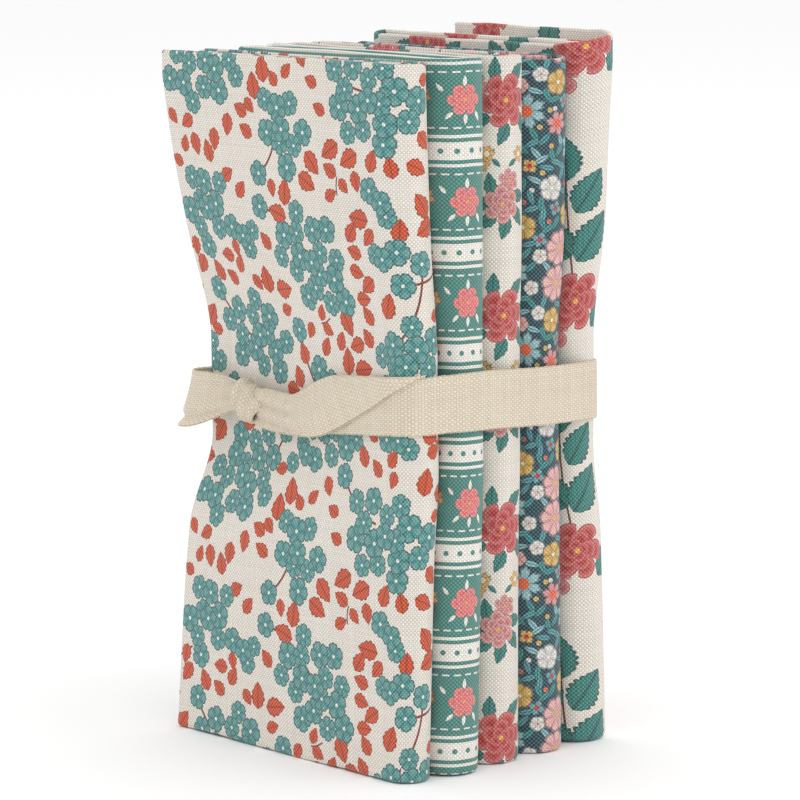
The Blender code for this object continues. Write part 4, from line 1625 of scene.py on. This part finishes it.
@dataclass
class FoldedCut:
    """One folded cut as a thin printed sheet on its solid's folds."""

    cut: Cut
    printed: Print
    fine_front: bool = False
    fine_back: bool = False
    fold: LetterFold = field(default_factory=LetterFold)
    flat: tuple[float, float] = (0.53, 0.5)
    wave: float = 0.22 * MM
    wave_cycles: tuple[int, ...] = (5, 11, 23)
    wave_parts: tuple[float, ...] = (0.5, 0.3, 0.2)
    crease_depth: float = 11.0 * MM
    measured_at: float = 0.7  # share of the height at which the print's length is measured
    first_seed: int = 11
    AXES: ClassVar[dict[Side, tuple[int, int, int]]] = {
        Side.FRONT: (0, 1, -1),
        Side.BACK: (0, 1, 1),
        Side.SPINES: (1, 0, 1),
    }  # the axis along each side, the axis out of it, and the way out along that

    @property
    def number(self) -> int:
        """Its place in the stack, from 0 at the front."""
        return CUTS.index(self.cut)

    def surface(self) -> tuple[Array, Stretch, dict[str, Array]]:
        """The middle of the cloth's thickness at every line and row, in the tables' coordinates."""
        rows = self.fold.rows()
        plan = FoldPlan(self.cut, self.number, rows["share"] * FOLD_HEIGHT)
        path = plan.path(self.fine_front, self.fine_back)
        foot, head = (path.pitch[:, rows["share"] == share][:, :1] for share in (0.0, 1.0))
        chance = np.random.default_rng(self.number + self.first_seed)
        ripple = self.ripple(len(path.rises), chance)[:, None]
        low = self.fold.side * foot + CLOTH_THICKNESS / 2 + self.wave + ripple
        high = FOLD_HEIGHT + path.rises[:, None] - self.fold.side / 2 * head - CLOTH_THICKNESS / 2
        high = high + self.ripple(len(path.rises), chance)[:, None]
        z = low + rows["share"] * (high - low) + rows["rolled"] * path.pitch
        plan_places = path.places + path.across * (rows["offset"] * path.pitch)[..., None]
        points = np.concatenate([plan_places, z[..., None]], axis=-1)
        return self.creased(points), path, rows

    def creased(self, points: Array) -> Array:
        """The points moved by the cut's creases, fully at its outside and less and less within.

        Args:
            points: Lines by rows by 3.

        Returns:
            The moved points.
        """
        moved = points.copy()
        for (cut, side), creases in CREASES.items():
            if cut is not self.cut:
                continue
            aside, depth, outward = self.AXES[side]
            outside = np.max(outward * points[..., depth], axis=0)
            within = (outside - outward * points[..., depth]) / self.crease_depth
            for crease in creases:
                off_aside = points[..., aside] - crease.place * MM
                off_height = points[..., 2] - crease.height * MM
                lean = math.radians(crease.lean)
                along = off_height * math.cos(lean) + off_aside * math.sin(lean)
                across = off_aside * math.cos(lean) - off_height * math.sin(lean)
                fade = smooth_step(1 - np.abs(along) / (crease.reach * MM)) * smooth_step(1 - within)
                lift = crease.lift * MM * np.exp(-((across / (crease.width * MM)) ** 2))
                moved[..., depth] += outward * lift * fade
        return moved

    def ripple(self, count: int, chance: np.random.Generator) -> Array:
        """A slow wave along an edge, from minus to plus the wave's size."""
        place = np.linspace(0, 1, count)
        phases = chance.uniform(0, 2 * math.pi, len(self.wave_cycles))
        angles = [2 * math.pi * turns * place + phase for turns, phase in zip(self.wave_cycles, phases)]
        return self.wave * sum(part * np.sin(angle) for part, angle in zip(self.wave_parts, angles))

    def build(self, kit: ShaderKit, shift: Array) -> bpy.types.Object:
        """Makes the piece and prints it.

        Args:
            kit: The shared shader groups.
            shift: From the tables' coordinates to the frame's.

        Returns:
            The piece.
        """
        points, path, rows = self.surface()
        off = np.abs(rows["share"] - self.measured_at)
        outer, inner = (int(np.argmin(off + (sign * rows["offset"] <= 0))) for sign in (1, -1))
        front = int(np.argmin(points[:, outer, 1]))
        along = summed(np.linalg.norm(np.diff(points[:, [outer, inner]], axis=0), axis=2).max(axis=1))
        up = summed(np.linalg.norm(np.diff(points[front], axis=0), axis=1))
        placed = points + shift
        shown = rows["offset"] > 0
        self.cut_edges = EdgeLines()
        self.cut_edges.add(placed[0, shown], placed[1, shown])
        self.cut_edges.add(placed[-1, shown], placed[-2, shown])
        shell = ClothShell(placed, along, up, path.room, rows["room"], CLOTH_THICKNESS)
        piece = shell.build(f"{self.printed.name}_quarter")
        laid = self.printed.lay(along / MM, up / MM)
        for layer in range(self.printed.layers):
            for name, cells in laid.attributes(layer).items():
                shell.keep(piece, f"{name}_{layer}", cells)
        shell.keep_reverse(piece)
        finish = CottonFinish(f"{self.printed.name}_cotton", self.printed, kit)
        piece.data.materials.append(finish.material())
        LOG.info("%s: %.0f x %.0f mm of cloth", piece.name, along[-1] / MM, up[-1] / MM)
        return piece


# What stands along the edges --------------------------------------------------------------------


class EdgeTrim(NodeGroup):
    """Short strands along an edge of cloth: a geometry node tree, built once and used with its own sizes.

    The path is a mesh of edges only, whose points hold the way out of the cloth as "outward".
    """

    kind = "GeometryNodeTree"
    takes = (
        GroupSocket("Edges", GEOMETRY),
        GroupSocket("Pitch", FLOAT, 1.0 * MM),
        GroupSocket("Width", FLOAT, 0.7 * MM),
        GroupSocket("Height", FLOAT, 0.3 * MM),
        GroupSocket("Radius", FLOAT, 0.1 * MM),
        GroupSocket("Unevenness", FLOAT, 0.1),
        GroupSocket("Seed", "NodeSocketInt", 3),
        GroupSocket("Thread", "NodeSocketMaterial"),
    )
    gives = (GroupSocket("Strands", GEOMETRY),)
    SECTION_SIDES = 4

    def strand(self, sheet: NodeSheet, given: dict[str, Term]) -> Term:
        """The curve of one strand, with X along the edge and Y out of the cloth.

        Args:
            sheet: The tree's nodes.
            given: Its inputs.

        Returns:
            The curve.
        """
        raise NotImplementedError

    def draw(self, sheet: NodeSheet, given: dict[str, Term]) -> tuple[Term, ...]:
        """Makes the strand solid and stands it at every step along the edges. See NodeGroup.draw."""
        radius = {"Radius": given["Radius"]}
        section = sheet.first("GeometryNodeCurvePrimitiveCircle", self.SECTION_SIDES, named=radius)
        swept = {"Curve": self.strand(sheet, given), "Profile Curve": section, "Fill Caps": True}
        solid = sheet.first("GeometryNodeCurveToMesh", named=swept)
        curve = sheet.first("GeometryNodeMeshToCurve", given["Edges"])
        pitch = {"Length": given["Pitch"]}
        steps = sheet.node("GeometryNodeCurveToPoints", curve, named=pitch, mode="LENGTH").outputs
        outward = sheet.first("GeometryNodeInputNamedAttribute", "outward", data_type="FLOAT_VECTOR")
        uneven, seed = given["Unevenness"], given["Seed"]
        low, high = (sheet.vector(part, part, part) for part in (uneven * -1.0, uneven))
        seeded = {"Seed": seed}
        chance = sheet.first("FunctionNodeRandomValue", low, high, named=seeded, data_type="FLOAT_VECTOR")
        leaning = sheet.first("ShaderNodeVectorMath", outward, chance, operation="ADD")
        align = "FunctionNodeAlignRotationToVector"
        upright = sheet.first(align, named={"Vector": leaning}, axis="Y")
        facing = {"Rotation": upright, "Vector": Term(sheet, steps["Tangent"])}
        turned = sheet.first(align, named=facing, axis="X", pivot_axis="Y")
        limits = (None, None, 1.0 - uneven, 1.0 + uneven)
        seeded = {"Seed": seed + 1.0}
        size = sheet.node("FunctionNodeRandomValue", *limits, named=seeded, data_type="FLOAT").outputs[1]
        stood = {"Instance": solid, "Rotation": turned, "Scale": Term(sheet, size)}
        placed = sheet.first("GeometryNodeInstanceOnPoints", Term(sheet, steps["Points"]), named=stood)
        real = sheet.first("GeometryNodeRealizeInstances", placed)
        return (sheet.first("GeometryNodeSetMaterial", real, named={"Material": given["Thread"]}),)

    def grow(
        self, name: str, edges: "EdgeLines", material: bpy.types.Material, **sizes: float
    ) -> bpy.types.Object:
        """Makes a plain mesh of strands along some edges.

        Args:
            name: The piece's name.
            edges: The edges.
            material: The strands' finish.
            sizes: Values for the tree's inputs, by name.

        Returns:
            The piece, at the origin.
        """
        piece = new_object(name, edges.mesh(name))
        modifier = piece.modifiers.new(self.name, "NODES")
        modifier.node_group = self.tree
        sockets = {item.name: item.identifier for item in self.tree.interface.items_tree}
        for socket, value in {**sizes, "Thread": material}.items():
            modifier[sockets[socket]] = value
        shown = piece.evaluated_get(bpy.context.evaluated_depsgraph_get())
        mesh = bpy.data.meshes.new_from_object(shown)
        piece.modifiers.remove(modifier)
        piece.data = mesh
        mesh.name = name
        mesh.shade_smooth()
        return piece


class LoopTrim(EdgeTrim):
    """The cross threads' turns that show as small loops along a woven tape's edges."""

    name = "tape_edge_loops"
    ARC = {"Resolution": 6, "Radius": 1.0, "Sweep Angle": math.pi}

    def strand(self, sheet: NodeSheet, given: dict[str, Term]) -> Term:
        """Half an oval. See EdgeTrim.strand."""
        arc = sheet.first("GeometryNodeCurveArc", named=self.ARC, mode="RADIUS")
        half = given["Width"] * 0.5
        oval = {"Scale": sheet.vector(half, given["Height"], half)}
        return sheet.first("GeometryNodeTransform", arc, named=oval)


class FrayTrim(EdgeTrim):
    """The short ends of thread along a cut edge."""

    name = "cut_edge_threads"
    STEPS = 4
    BEND = 0.6  # height of the bend, over the strand's

    def strand(self, sheet: NodeSheet, given: dict[str, Term]) -> Term:
        """A short bent end. See EdgeTrim.strand."""
        middle = sheet.vector(0.0, given["Height"] * self.BEND, 0.0)
        end = sheet.vector(given["Width"], given["Height"], 0.0)
        bent = {"Start": (0.0, 0.0, 0.0), "Middle": middle, "End": end}
        return sheet.first("GeometryNodeCurveQuadraticBezier", self.STEPS, named=bent)


@dataclass
class EdgeLines:
    """Edges of cloth as lines of points, each point with the way out of the cloth."""

    lines: list[tuple[Array, Array]] = field(default_factory=list)

    def add(self, edge: Array, inside: Array) -> None:
        """Adds an edge, given the line of points next to it within the cloth."""
        self.lines.append((edge, unit(edge - inside)))

    def mesh(self, name: str) -> bpy.types.Mesh:
        """The lines as a mesh of edges only."""
        mesh = bpy.data.meshes.new(f"{name}_path")
        joined, first = [], 0
        for edge, _ in self.lines:
            joined += [(first + step, first + step + 1) for step in range(len(edge) - 1)]
            first += len(edge)
        mesh.from_pydata(np.concatenate([edge for edge, _ in self.lines]).tolist(), joined, [])
        kept = mesh.attributes.new("outward", "FLOAT_VECTOR", "POINT")
        ways = np.concatenate([way for _, way in self.lines])
        kept.data.foreach_set("vector", ways.astype(np.float32).ravel())
        return mesh


# Tape ------------------------------------------------------------------------------------------


class BandStation(NamedTuple):
    """The tape at one place of its way round the stack, in millimetres."""

    way: float  # share of the way round, from the knot's right side to its left side
    low: float  # height of the lower edge
    high: float  # height of the upper edge
    low_stand: float  # how far the lower edge stands off
    high_stand: float  # how far the upper edge stands off
    pleat: float  # how deep its gathers are


class TailStation(NamedTuple):
    """The tape's free end at one distance from the knot's middle, in millimetres.

    Its upper edge is given as if it weren't turned over the band.
    """

    along: float
    low: float
    high: float
    stand: float  # from the cloth behind to the middle of its thickness
    slope: float  # degrees that it climbs
    pleat: float


BAND_STATIONS = (
    BandStation(-0.012, 81.4, 86.6, 0.7, 0.7, 0.5),
    BandStation(0.000, 80.8, 86.8, 0.6, 0.6, 0.5),
    BandStation(0.020, 79.0, 86.2, 0.5, 0.5, 0.3),
    BandStation(0.045, 78.2, 85.8, 0.5, 0.5, 0.2),
    BandStation(0.066, 78.4, 87.6, 0.5, 0.5, 0.15),
    BandStation(0.081, 78.8, 89.6, 0.5, 0.5, 0.0),
    BandStation(0.106, 79.6, 91.8, 0.5, 0.5, 0.0),
    BandStation(0.166, 80.8, 93.5, 0.4, 0.4, 0.0),
    BandStation(0.200, 81.6, 94.2, 0.2, 0.2, 0.0),
    BandStation(0.236, 81.8, 94.8, 0.0, 0.0, 0.0),
    BandStation(0.260, 81.6, 94.8, 0.0, 0.0, 0.0),
    BandStation(0.329, 80.6, 93.9, 0.0, 0.0, 0.0),
    BandStation(0.426, 79.4, 92.8, 0.0, 0.0, 0.0),
    BandStation(0.700, 76.8, 90.2, 0.0, 0.0, 0.0),
    BandStation(0.830, 75.8, 89.2, 0.4, 0.2, 0.0),
    BandStation(0.885, 75.2, 88.6, 3.8, 1.6, 0.0),
    BandStation(0.920, 75.0, 88.4, 7.6, 3.6, 0.0),
    BandStation(0.940, 75.4, 88.6, 8.2, 4.4, 0.0),
    BandStation(0.960, 76.8, 88.8, 7.0, 4.2, 0.05),
    BandStation(0.978, 78.8, 88.6, 5.0, 3.4, 0.2),
    BandStation(0.992, 80.6, 88.0, 3.4, 2.6, 0.4),
    BandStation(1.014, 81.2, 87.0, 2.6, 2.2, 0.4),
)

TAIL_STATIONS = (
    TailStation(1.5, 79.6, 86.6, 3.5, -8.0, 0.4),
    TailStation(4.9, 78.6, 87.0, 4.3, -12.0, 0.25),
    TailStation(10.0, 77.9, 87.2, 3.9, -8.0, 0.42),
    TailStation(17.0, 77.5, 86.9, 3.0, 0.0, 0.32),
    TailStation(22.0, 77.7, 89.6, 2.7, 6.0, 0.2),
    TailStation(27.0, 78.4, 92.2, 2.5, 14.0, 0.08),
    TailStation(34.0, 80.9, 95.3, 2.2, 24.0, 0.0),
    TailStation(41.0, 84.2, 99.0, 1.9, 26.0, 0.0),
    TailStation(50.0, 88.7, 104.0, 1.75, 29.0, 0.0),
    TailStation(57.0, 93.2, 109.2, 1.65, 33.0, 0.0),
    TailStation(61.0, 95.8, 112.0, 1.6, 33.0, 0.0),
)

STRAND_SIZES = ("Pitch", "Width", "Height", "Radius", "Unevenness")
LOOP_SIZES = dict(zip(STRAND_SIZES, (0.78 * MM, 0.56 * MM, 0.24 * MM, 0.12 * MM, 0.12)))
FRAY_SIZES = dict(zip(STRAND_SIZES, (1.3 * MM, 0.35 * MM, 1.1 * MM, 0.07 * MM, 0.4)))
TAPE_WIDTH = 13.4 * MM
TAPE_THICKNESS = 0.55 * MM
TAPE_OFFSET = 0.75 * MM  # from the cloth it is drawn round to the middle of its thickness
KNOT_AT = -16.5 * MM  # x of the knot's middle
KNOT_CLEARANCE = 4.75 * MM  # from the knot's middle to the ends of the band's way round
WAIST_HEIGHTS = (73.5 * MM, 97.0 * MM)  # between which the tape is drawn round the cuts


def station_table(stations: Sequence[Sequence[float]]) -> SmoothTable:
    """The stations' other columns over their first."""
    return SmoothTable([row[0] for row in stations], [row[1:] for row in stations])


class Waist:
    """The outline of the tied cloth, and places on the way round it."""

    softening = 5  # points on each side that a point is evened out with

    def __init__(
        self, pieces: Sequence[bpy.types.Object], low: float, high: float, step: float = 0.5 * MM
    ) -> None:
        """Finds the convex outline of the cloth between two heights, evenly stepped.

        Args:
            pieces: The folded cuts.
            low: The lower height.
            high: The upper height.
            step: Distance between two points of the outline.
        """
        found = []
        for piece in pieces:
            points = np.empty(len(piece.data.vertices) * 3, np.float32)
            piece.data.vertices.foreach_get("co", points)
            points = points.reshape(-1, 3)
            found.append(points[(points[:, 2] > low) & (points[:, 2] < high), :2])
        hull = self.convex(np.concatenate(found).astype(float))
        closed = np.vstack([hull, hull[:1]])
        lengths = summed(np.linalg.norm(np.diff(closed, axis=0), axis=1))
        self.length = float(lengths[-1])
        count = math.ceil(self.length / step)
        wanted = np.arange(count) * self.length / count
        line = np.stack([np.interp(wanted, lengths, closed[:, axis]) for axis in range(2)], axis=1)
        self.line = self.softened(line)
        heading = np.roll(self.line, -1, axis=0) - np.roll(self.line, 1, axis=0)
        outward = np.stack([heading[:, 1], -heading[:, 0]], axis=1)
        self.outward = unit(self.softened(unit(outward)))

    def softened(self, values: Array) -> Array:
        """The mean of each point of a closed line and its neighbours."""
        steps = range(-self.softening, self.softening + 1)
        return sum(np.roll(values, step, axis=0) for step in steps) / len(steps)

    @staticmethod
    def convex(points: Array) -> Array:
        """The convex outline of plan points, counter-clockwise seen from above."""
        ordered = points[np.lexsort((points[:, 1], points[:, 0]))]
        halves = []
        for sequence in (ordered, ordered[::-1]):
            chain: list[Array] = []
            for point in sequence:
                while len(chain) > 1:
                    first, second = chain[-1] - chain[-2], point - chain[-2]
                    if first[0] * second[1] - first[1] * second[0] > 1e-10:
                        break
                    chain.pop()
                chain.append(point)
            halves += chain[:-1]
        return np.array(halves)

    def start_from(self, x: float) -> None:
        """Turns the line so that it starts on its front at x."""
        front = np.where(self.outward[:, 1] < -0.5, np.abs(self.line[:, 0] - x), np.inf)
        first = int(np.argmin(front))
        self.line = np.roll(self.line, -first, axis=0)
        self.outward = np.roll(self.outward, -first, axis=0)

    def at(self, distance: Array, stand: Array) -> Array:
        """Plan points a distance along the line and some way out from it.

        Args:
            distance: Distances from the line's start, which may be negative.
            stand: How far out each is.

        Returns:
            The points.
        """
        place = (distance / self.length) % 1.0 * len(self.line)
        index = np.arange(len(self.line) + 1)
        found = []
        for values in (self.line, self.outward):
            closed = np.vstack([values, values[:1]])
            found.append(np.stack([np.interp(place, index, column) for column in closed.T], axis=-1))
        return found[0] + found[1] * stand[..., None]


@dataclass
class TapePiece:
    """A part of the tape, as a closed thin strip of coarse cloth."""

    waist: Waist
    name: str = "tape_part"
    node: str = ""
    across_cells: int = 26
    width: float = TAPE_WIDTH
    thickness: float = TAPE_THICKNESS

    def points(self) -> tuple[Array, ...]:
        """The strip's points, each line's place along the tape and, where it turns, the weave's slant."""
        raise NotImplementedError

    def across(self) -> Array:
        """Places across the tape, from 1 at its upper edge to 0 at its lower."""
        return np.linspace(1, 0, self.across_cells + 1)[None, :]

    def build(self) -> bpy.types.Object:
        """Makes the strip's mesh, and keeps its length and its edges."""
        points, along, *slant = self.points()
        lines, rows = points.shape[:2]
        self.woven_edges = EdgeLines()
        self.woven_edges.add(points[:, 0], points[:, 1])
        self.woven_edges.add(points[:, -1], points[:, -2])
        self.length = float(along[-1] - along[0])
        up = np.linspace(self.width, 0, rows)
        shell = ClothShell(points, along, up, np.ones(lines), np.ones(rows), self.thickness, *slant)
        return shell.build(self.name)


@dataclass
class TapeBand(TapePiece):
    """The tape round the waist, with the loop that stands off beside the knot."""

    step: float = 1.1 * MM
    flare_power: float = 1.4  # how soon across the tape its lower edge's stand is reached
    curl: float = 0.12  # of the lower edge, over its stand
    curl_part: float = 0.3  # of the width
    gathers: float = 2.2  # across the width
    wander: float = 0.1 * MM
    table: SmoothTable = field(default_factory=lambda: station_table(BAND_STATIONS))

    @property
    def whole(self) -> float:
        """The length of the way round."""
        return self.waist.length - 2 * KNOT_CLEARANCE

    def points(self) -> tuple[Array, ...]:
        """The strip's points, and the distance of each line."""
        first, last = BAND_STATIONS[0].way, BAND_STATIONS[-1].way
        count = round(self.whole * (last - first) / self.step)
        ways = np.linspace(first, last, count + 1)
        low, high, low_stand, high_stand, pleat = (self.table.at(ways) * MM).T[:, :, None]
        across = self.across()
        distance = (ways * self.whole + KNOT_CLEARANCE)[:, None] + 0 * across
        lower = (1 - across) ** self.flare_power
        flare = low_stand * lower + high_stand * (1 - (1 - across) ** self.flare_power)
        rolled = np.clip((self.curl_part - across) / self.curl_part, 0, 1)
        curl = self.curl * low_stand * np.sin(math.pi * rolled) ** 2
        gathers = pleat * np.sin(2 * math.pi * self.gathers * across + 0.6 + ways[:, None] * 30)
        stand = TAPE_OFFSET + flare - curl + gathers
        height = low + across * (high - low) + self.wander * np.sin(ways * 47)[:, None]
        points = np.concatenate([self.waist.at(distance, stand), height[..., None]], axis=-1)
        return points, summed(np.linalg.norm(np.diff(points[:, self.across_cells // 2], axis=0), axis=1))

    def top_at(self, distance: Array) -> Array:
        """Height of the band's upper edge at distances from the knot's middle."""
        ways = (distance.ravel() - KNOT_CLEARANCE) / self.whole
        return self.table.at(ways)[:, 1].reshape(distance.shape) * MM


@dataclass
class TapeTail(TapePiece):
    """The tape's free end, laid over the band, turned over its upper edge and tucked behind it."""

    band: Optional[TapeBand] = None
    step: float = 0.9 * MM
    gathers: float = 2.6  # across the width
    bulge: float = 0.5 * MM
    bulge_from: Place = (8.0, 12.0)  # millimetres along where it starts, and over which it grows
    bulge_until: Place = (30.0, 14.0)
    tuck_stand: float = 0.42 * MM
    tuck_depth: float = 9.0 * MM

    def points(self) -> tuple[Array, ...]:
        """The strip's points, the distance of each line, and the weave's slant."""
        first, last = TAIL_STATIONS[0].along, TAIL_STATIONS[-1].along
        count = round((last - first) * MM / self.step)
        places = np.linspace(first, last, count + 1)
        low, high, stand, slope, pleat = station_table(TAIL_STATIONS).at(places).T[:, :, None]
        across = self.across()
        height = (low + across * (high - low)) * MM
        distance = places[:, None] * MM + 0 * across
        gathers = np.sin(2 * math.pi * self.gathers * across + 0.9 + places[:, None] * 0.12)
        spans = (self.bulge_from, self.bulge_until)
        rising, falling = (smooth_step((places[:, None] - start) / reach) for start, reach in spans)
        bulge = self.bulge * np.sin(math.pi * across) * rising
        stand = stand * MM + pleat * MM * gathers + bulge * (1 - falling)
        top = self.band.top_at(distance) + 0.1 * MM
        over = height - top
        radius = (stand - self.tuck_stand) / 2
        turned = np.clip(over / radius, 0, math.pi)
        beyond = self.tuck_depth * (1 - np.exp(-np.maximum(over - math.pi * radius, 0) / self.tuck_depth))
        folded = np.where(over > 0, top + radius * np.sin(turned) - beyond, height)
        stand = np.where(over > 0, self.tuck_stand + radius * (1 + np.cos(turned)), stand)
        points = np.concatenate([self.waist.at(distance, stand), folded[..., None]], axis=-1)
        slope = np.radians(slope)
        slant = (across - 0.5) * (high - low) * MM * np.sin(slope)
        return points, summed(np.diff(places) * MM / np.cos(slope[1:, 0])), slant


@dataclass
class TapeKnot(TapePiece):
    """The turn of tape that holds the knot: a gathered wrap round the two ends."""

    half_width: float = 4.7 * MM
    half_depth: float = 3.1 * MM
    half_height: float = 4.0 * MM
    height: float = 83.7 * MM
    tilt: float = math.radians(-36)
    aside: float = 1.0 * MM
    around: int = 64
    overlap: float = 0.5  # radians
    drawn_in: Place = (0.5, 4.5)  # at its ends, and how suddenly
    gathers: Place = (0.15, 0.05)  # over its size: along the wrap, and across it
    growth: float = 0.1  # from its start to its end, over its size
    flare: float = 0.12
    lean: float = 0.16

    def points(self) -> tuple[Array, ...]:
        """The wrap's points, and the distance of each line."""
        turned = np.linspace(-self.overlap / 2, 2 * math.pi + self.overlap / 2, self.around + 1)[:, None]
        across = np.linspace(1, -1, self.across_cells + 1)[None, :]
        neck, suddenness = self.drawn_in
        along_wrap, across_wrap = self.gathers
        gathers = 1 + along_wrap * np.sin(2.5 * math.pi * across + 0.9 * np.sin(turned) + 0.4)
        gathers = gathers + across_wrap * np.sin(6.1 * across + 2.0 * turned)
        grown = 1 + self.growth * (turned - math.pi) / math.pi
        scale = (1 - neck * np.abs(across) ** suddenness) * gathers * grown
        depth = -self.half_depth * np.cos(turned) * scale
        up = self.half_height * np.sin(turned) * scale
        wide = self.half_width * across * (1 + self.flare * np.sin(turned)) - self.lean * up
        beside_knot = wide * math.cos(self.tilt) - up * math.sin(self.tilt)
        raised = wide * math.sin(self.tilt) + up * math.cos(self.tilt)
        stand = TAPE_OFFSET + 0.1 * MM + self.half_depth + depth
        plan = self.waist.at(beside_knot + self.aside, stand)
        along = turned[:, 0] * (self.half_height + self.half_depth) / 2
        return np.concatenate([plan, (self.height + raised)[..., None]], axis=-1), along


# Studio ----------------------------------------------------------------------------------------


@dataclass
class Studio:
    """The pale floor, the soft light and the camera."""

    floor_half: float = 12.0
    floor_tint: float = 1.0
    world_tint: float = 0.95
    lens: float = 179.54  # millimetres
    camera_at: Spot = (709.72, -639.58, 223.20)  # millimetres of the tables
    camera_right: Spot = (0.66976, 0.74252, -0.00992)
    camera_up: Spot = (-0.10103, 0.10434, 0.98940)
    camera_shift: Place = (0.008, -0.0059)
    sensor: float = 36.0  # millimetres
    far_clip: float = 60.0

    def build(self, shift: Array) -> None:
        """Makes everything round the bundle.

        Args:
            shift: From the tables' coordinates to the frame's.
        """
        self.build_floor()
        self.build_light()
        self.build_camera(shift)
        bpy.context.scene.view_settings.view_transform = "Standard"

    def build_floor(self) -> None:
        """A wide pale floor at the bundle's foot."""
        half = self.floor_half
        mesh = bpy.data.meshes.new("floor")
        corners = [(-half, -half, 0), (half, -half, 0), (half, half, 0), (-half, half, 0)]
        mesh.from_pydata(corners, [], [range(len(corners))])
        mesh.materials.append(PaperFinish("floor_paper", self.floor_tint).material())
        floor = new_object("floor", mesh)

    def build_light(self) -> None:
        """An even white surround and two broad lamps."""
        world = bpy.data.worlds.new("studio_world")
        world.use_nodes = True
        surround = world.node_tree.nodes["Background"]
        surround.inputs[0].default_value = (1.0, 1.0, 1.0, 1.0)
        surround.inputs[1].default_value = self.world_tint
        bpy.context.scene.world = world
        lamps = (
            ("top_lamp", (0.0, 0.0, 2.2), 2.6, 8.5),
            ("side_lamp", (1.3, 0.4, 0.8), 1.0, 2.3),
        )
        for name, place, size, watts in lamps:
            data = bpy.data.lights.new(name, "AREA")
            data.shape = "DISK"
            data.size = size
            data.energy = watts
            lamp = new_object(name, data)
            toward = Vector((0.0, 0.0, 0.08)) - Vector(place)
            lamp.matrix_world = Matrix.LocRotScale(Vector(place), toward.to_track_quat("-Z", "Y"), None)

    def build_camera(self, shift: Array) -> None:
        """The photograph's viewpoint. See build."""
        right = Vector(self.camera_right).normalized()
        back = right.cross(Vector(self.camera_up)).normalized()
        up = back.cross(right)
        data = bpy.data.cameras.new("camera")
        data.lens = self.lens
        data.sensor_width = self.sensor
        data.shift_x, data.shift_y = self.camera_shift
        data.clip_end = self.far_clip
        camera = new_object("camera", data)
        turned = Matrix((right, up, back)).transposed()
        place = Vector(np.array(self.camera_at) * MM + shift)
        camera.matrix_world = Matrix.Translation(place) @ turned.to_4x4()
        bpy.context.scene.camera = camera


def declare(piece: bpy.types.Object, trim: bpy.types.Object, node: str, slot: str, **cloth: object) -> None:
    """Hides the solid that a piece stands for, puts the piece and the threads along its edges under the root,
    and reports their faces.

    Args:
        piece: The finished piece.
        trim: The threads.
        node: The solid that the piece stands for.
        slot: Not used.
        cloth: Not used; it holds flat, held and rests_on.
    """
    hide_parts(node)
    for part in (piece, trim):
        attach(part, "root")
        LOG.info("%s: %d faces", part.name, len(part.data.polygons))


def main() -> None:
    """Builds the bundle piece by piece and reports each."""
    logging.basicConfig(level=logging.INFO, format="%(message)s")
    shift = shift_of_table()
    kit = ShaderKit(MotifGroup(), WeaveGroup())
    Studio().build(shift)
    sprig = SprigPrint("sprig", Inks.CREAM, Inks.TEAL_DARK, (92.0, 101.0), (83.0, 0.0))
    leaves = LeafPrint("leaf", Inks.CREAM, Inks.DEEP_RED, (54.0, 60.0), (53.0, 20.0))
    cuts = (
        FoldedCut(SPRIG_CUT, sprig, fine_front=True),
        FoldedCut(STRIPE_CUT, StripePrint("stripe", Inks.SEA, Inks.RED, (20.0, 23.4), (0.0, 5.0))),
        FoldedCut(ROSE_CUT, RosePrint("rose", Inks.CREAM, Inks.DEEP_RED, (46.0, 50.0), (26.0, 8.0))),
        FoldedCut(MEADOW_CUT, MeadowPrint("meadow", Inks.NAVY, Inks.NAVY, (48.0, 56.0), layers=4, seed=7)),
        FoldedCut(LEAF_CUT, leaves, fine_back=True),
    )
    slots = {
        "sprig": "cream_sprig_cotton",
        "stripe": "teal_stripe_cotton",
        "rose": "cream_rose_cotton",
        "meadow": "navy_meadow_cotton",
        "leaf": "cream_leaf_cotton",
    }
    frays, loops = FrayTrim(), LoopTrim()
    loose_thread = ThreadFinish("loose_cotton_thread", Inks.WHITE, Inks.CREAM).material()
    quarters = []
    for folded in cuts:
        piece = folded.build(kit, shift)
        trim = frays.grow(f"{folded.printed.name}_threads", folded.cut_edges, loose_thread, **FRAY_SIZES)
        quarters.append(piece)
        number = folded.number
        nearby = [f"{other.printed.name}_quarter" for other in cuts if abs(other.number - number) == 1]
        slot = slots[folded.printed.name]
        declare(piece, trim, folded.cut.node, slot, flat=folded.flat, held="folded", rests_on=nearby)
    waist = Waist(quarters, *WAIST_HEIGHTS)
    waist.start_from(KNOT_AT + shift[0])
    band = TapeBand(waist, "tape_round", "tape_band")
    tail = TapeTail(waist, "tape_end", "tape_tail", band=band)
    knot = TapeKnot(waist, "tape_wrap", "tape_knot")
    finish = TapeFinish("natural_cotton_tape", kit)
    cotton = finish.material()
    tape_thread = ThreadFinish("tape_thread", finish.tint, finish.edge).material()
    carried = [piece.name for piece in quarters]
    for part in (band, tail, knot):
        piece = part.build()
        piece.data.materials.append(cotton)
        trim = loops.grow(f"{part.name}_loops", part.woven_edges, tape_thread, **LOOP_SIZES)
        flat = (part.width, part.length)
        declare(piece, trim, part.node, "cotton_tape", flat=flat, held="folded", rests_on=carried)
        carried = ["tape_round", "sprig_quarter"]


if __name__ == "__main__":
    main()
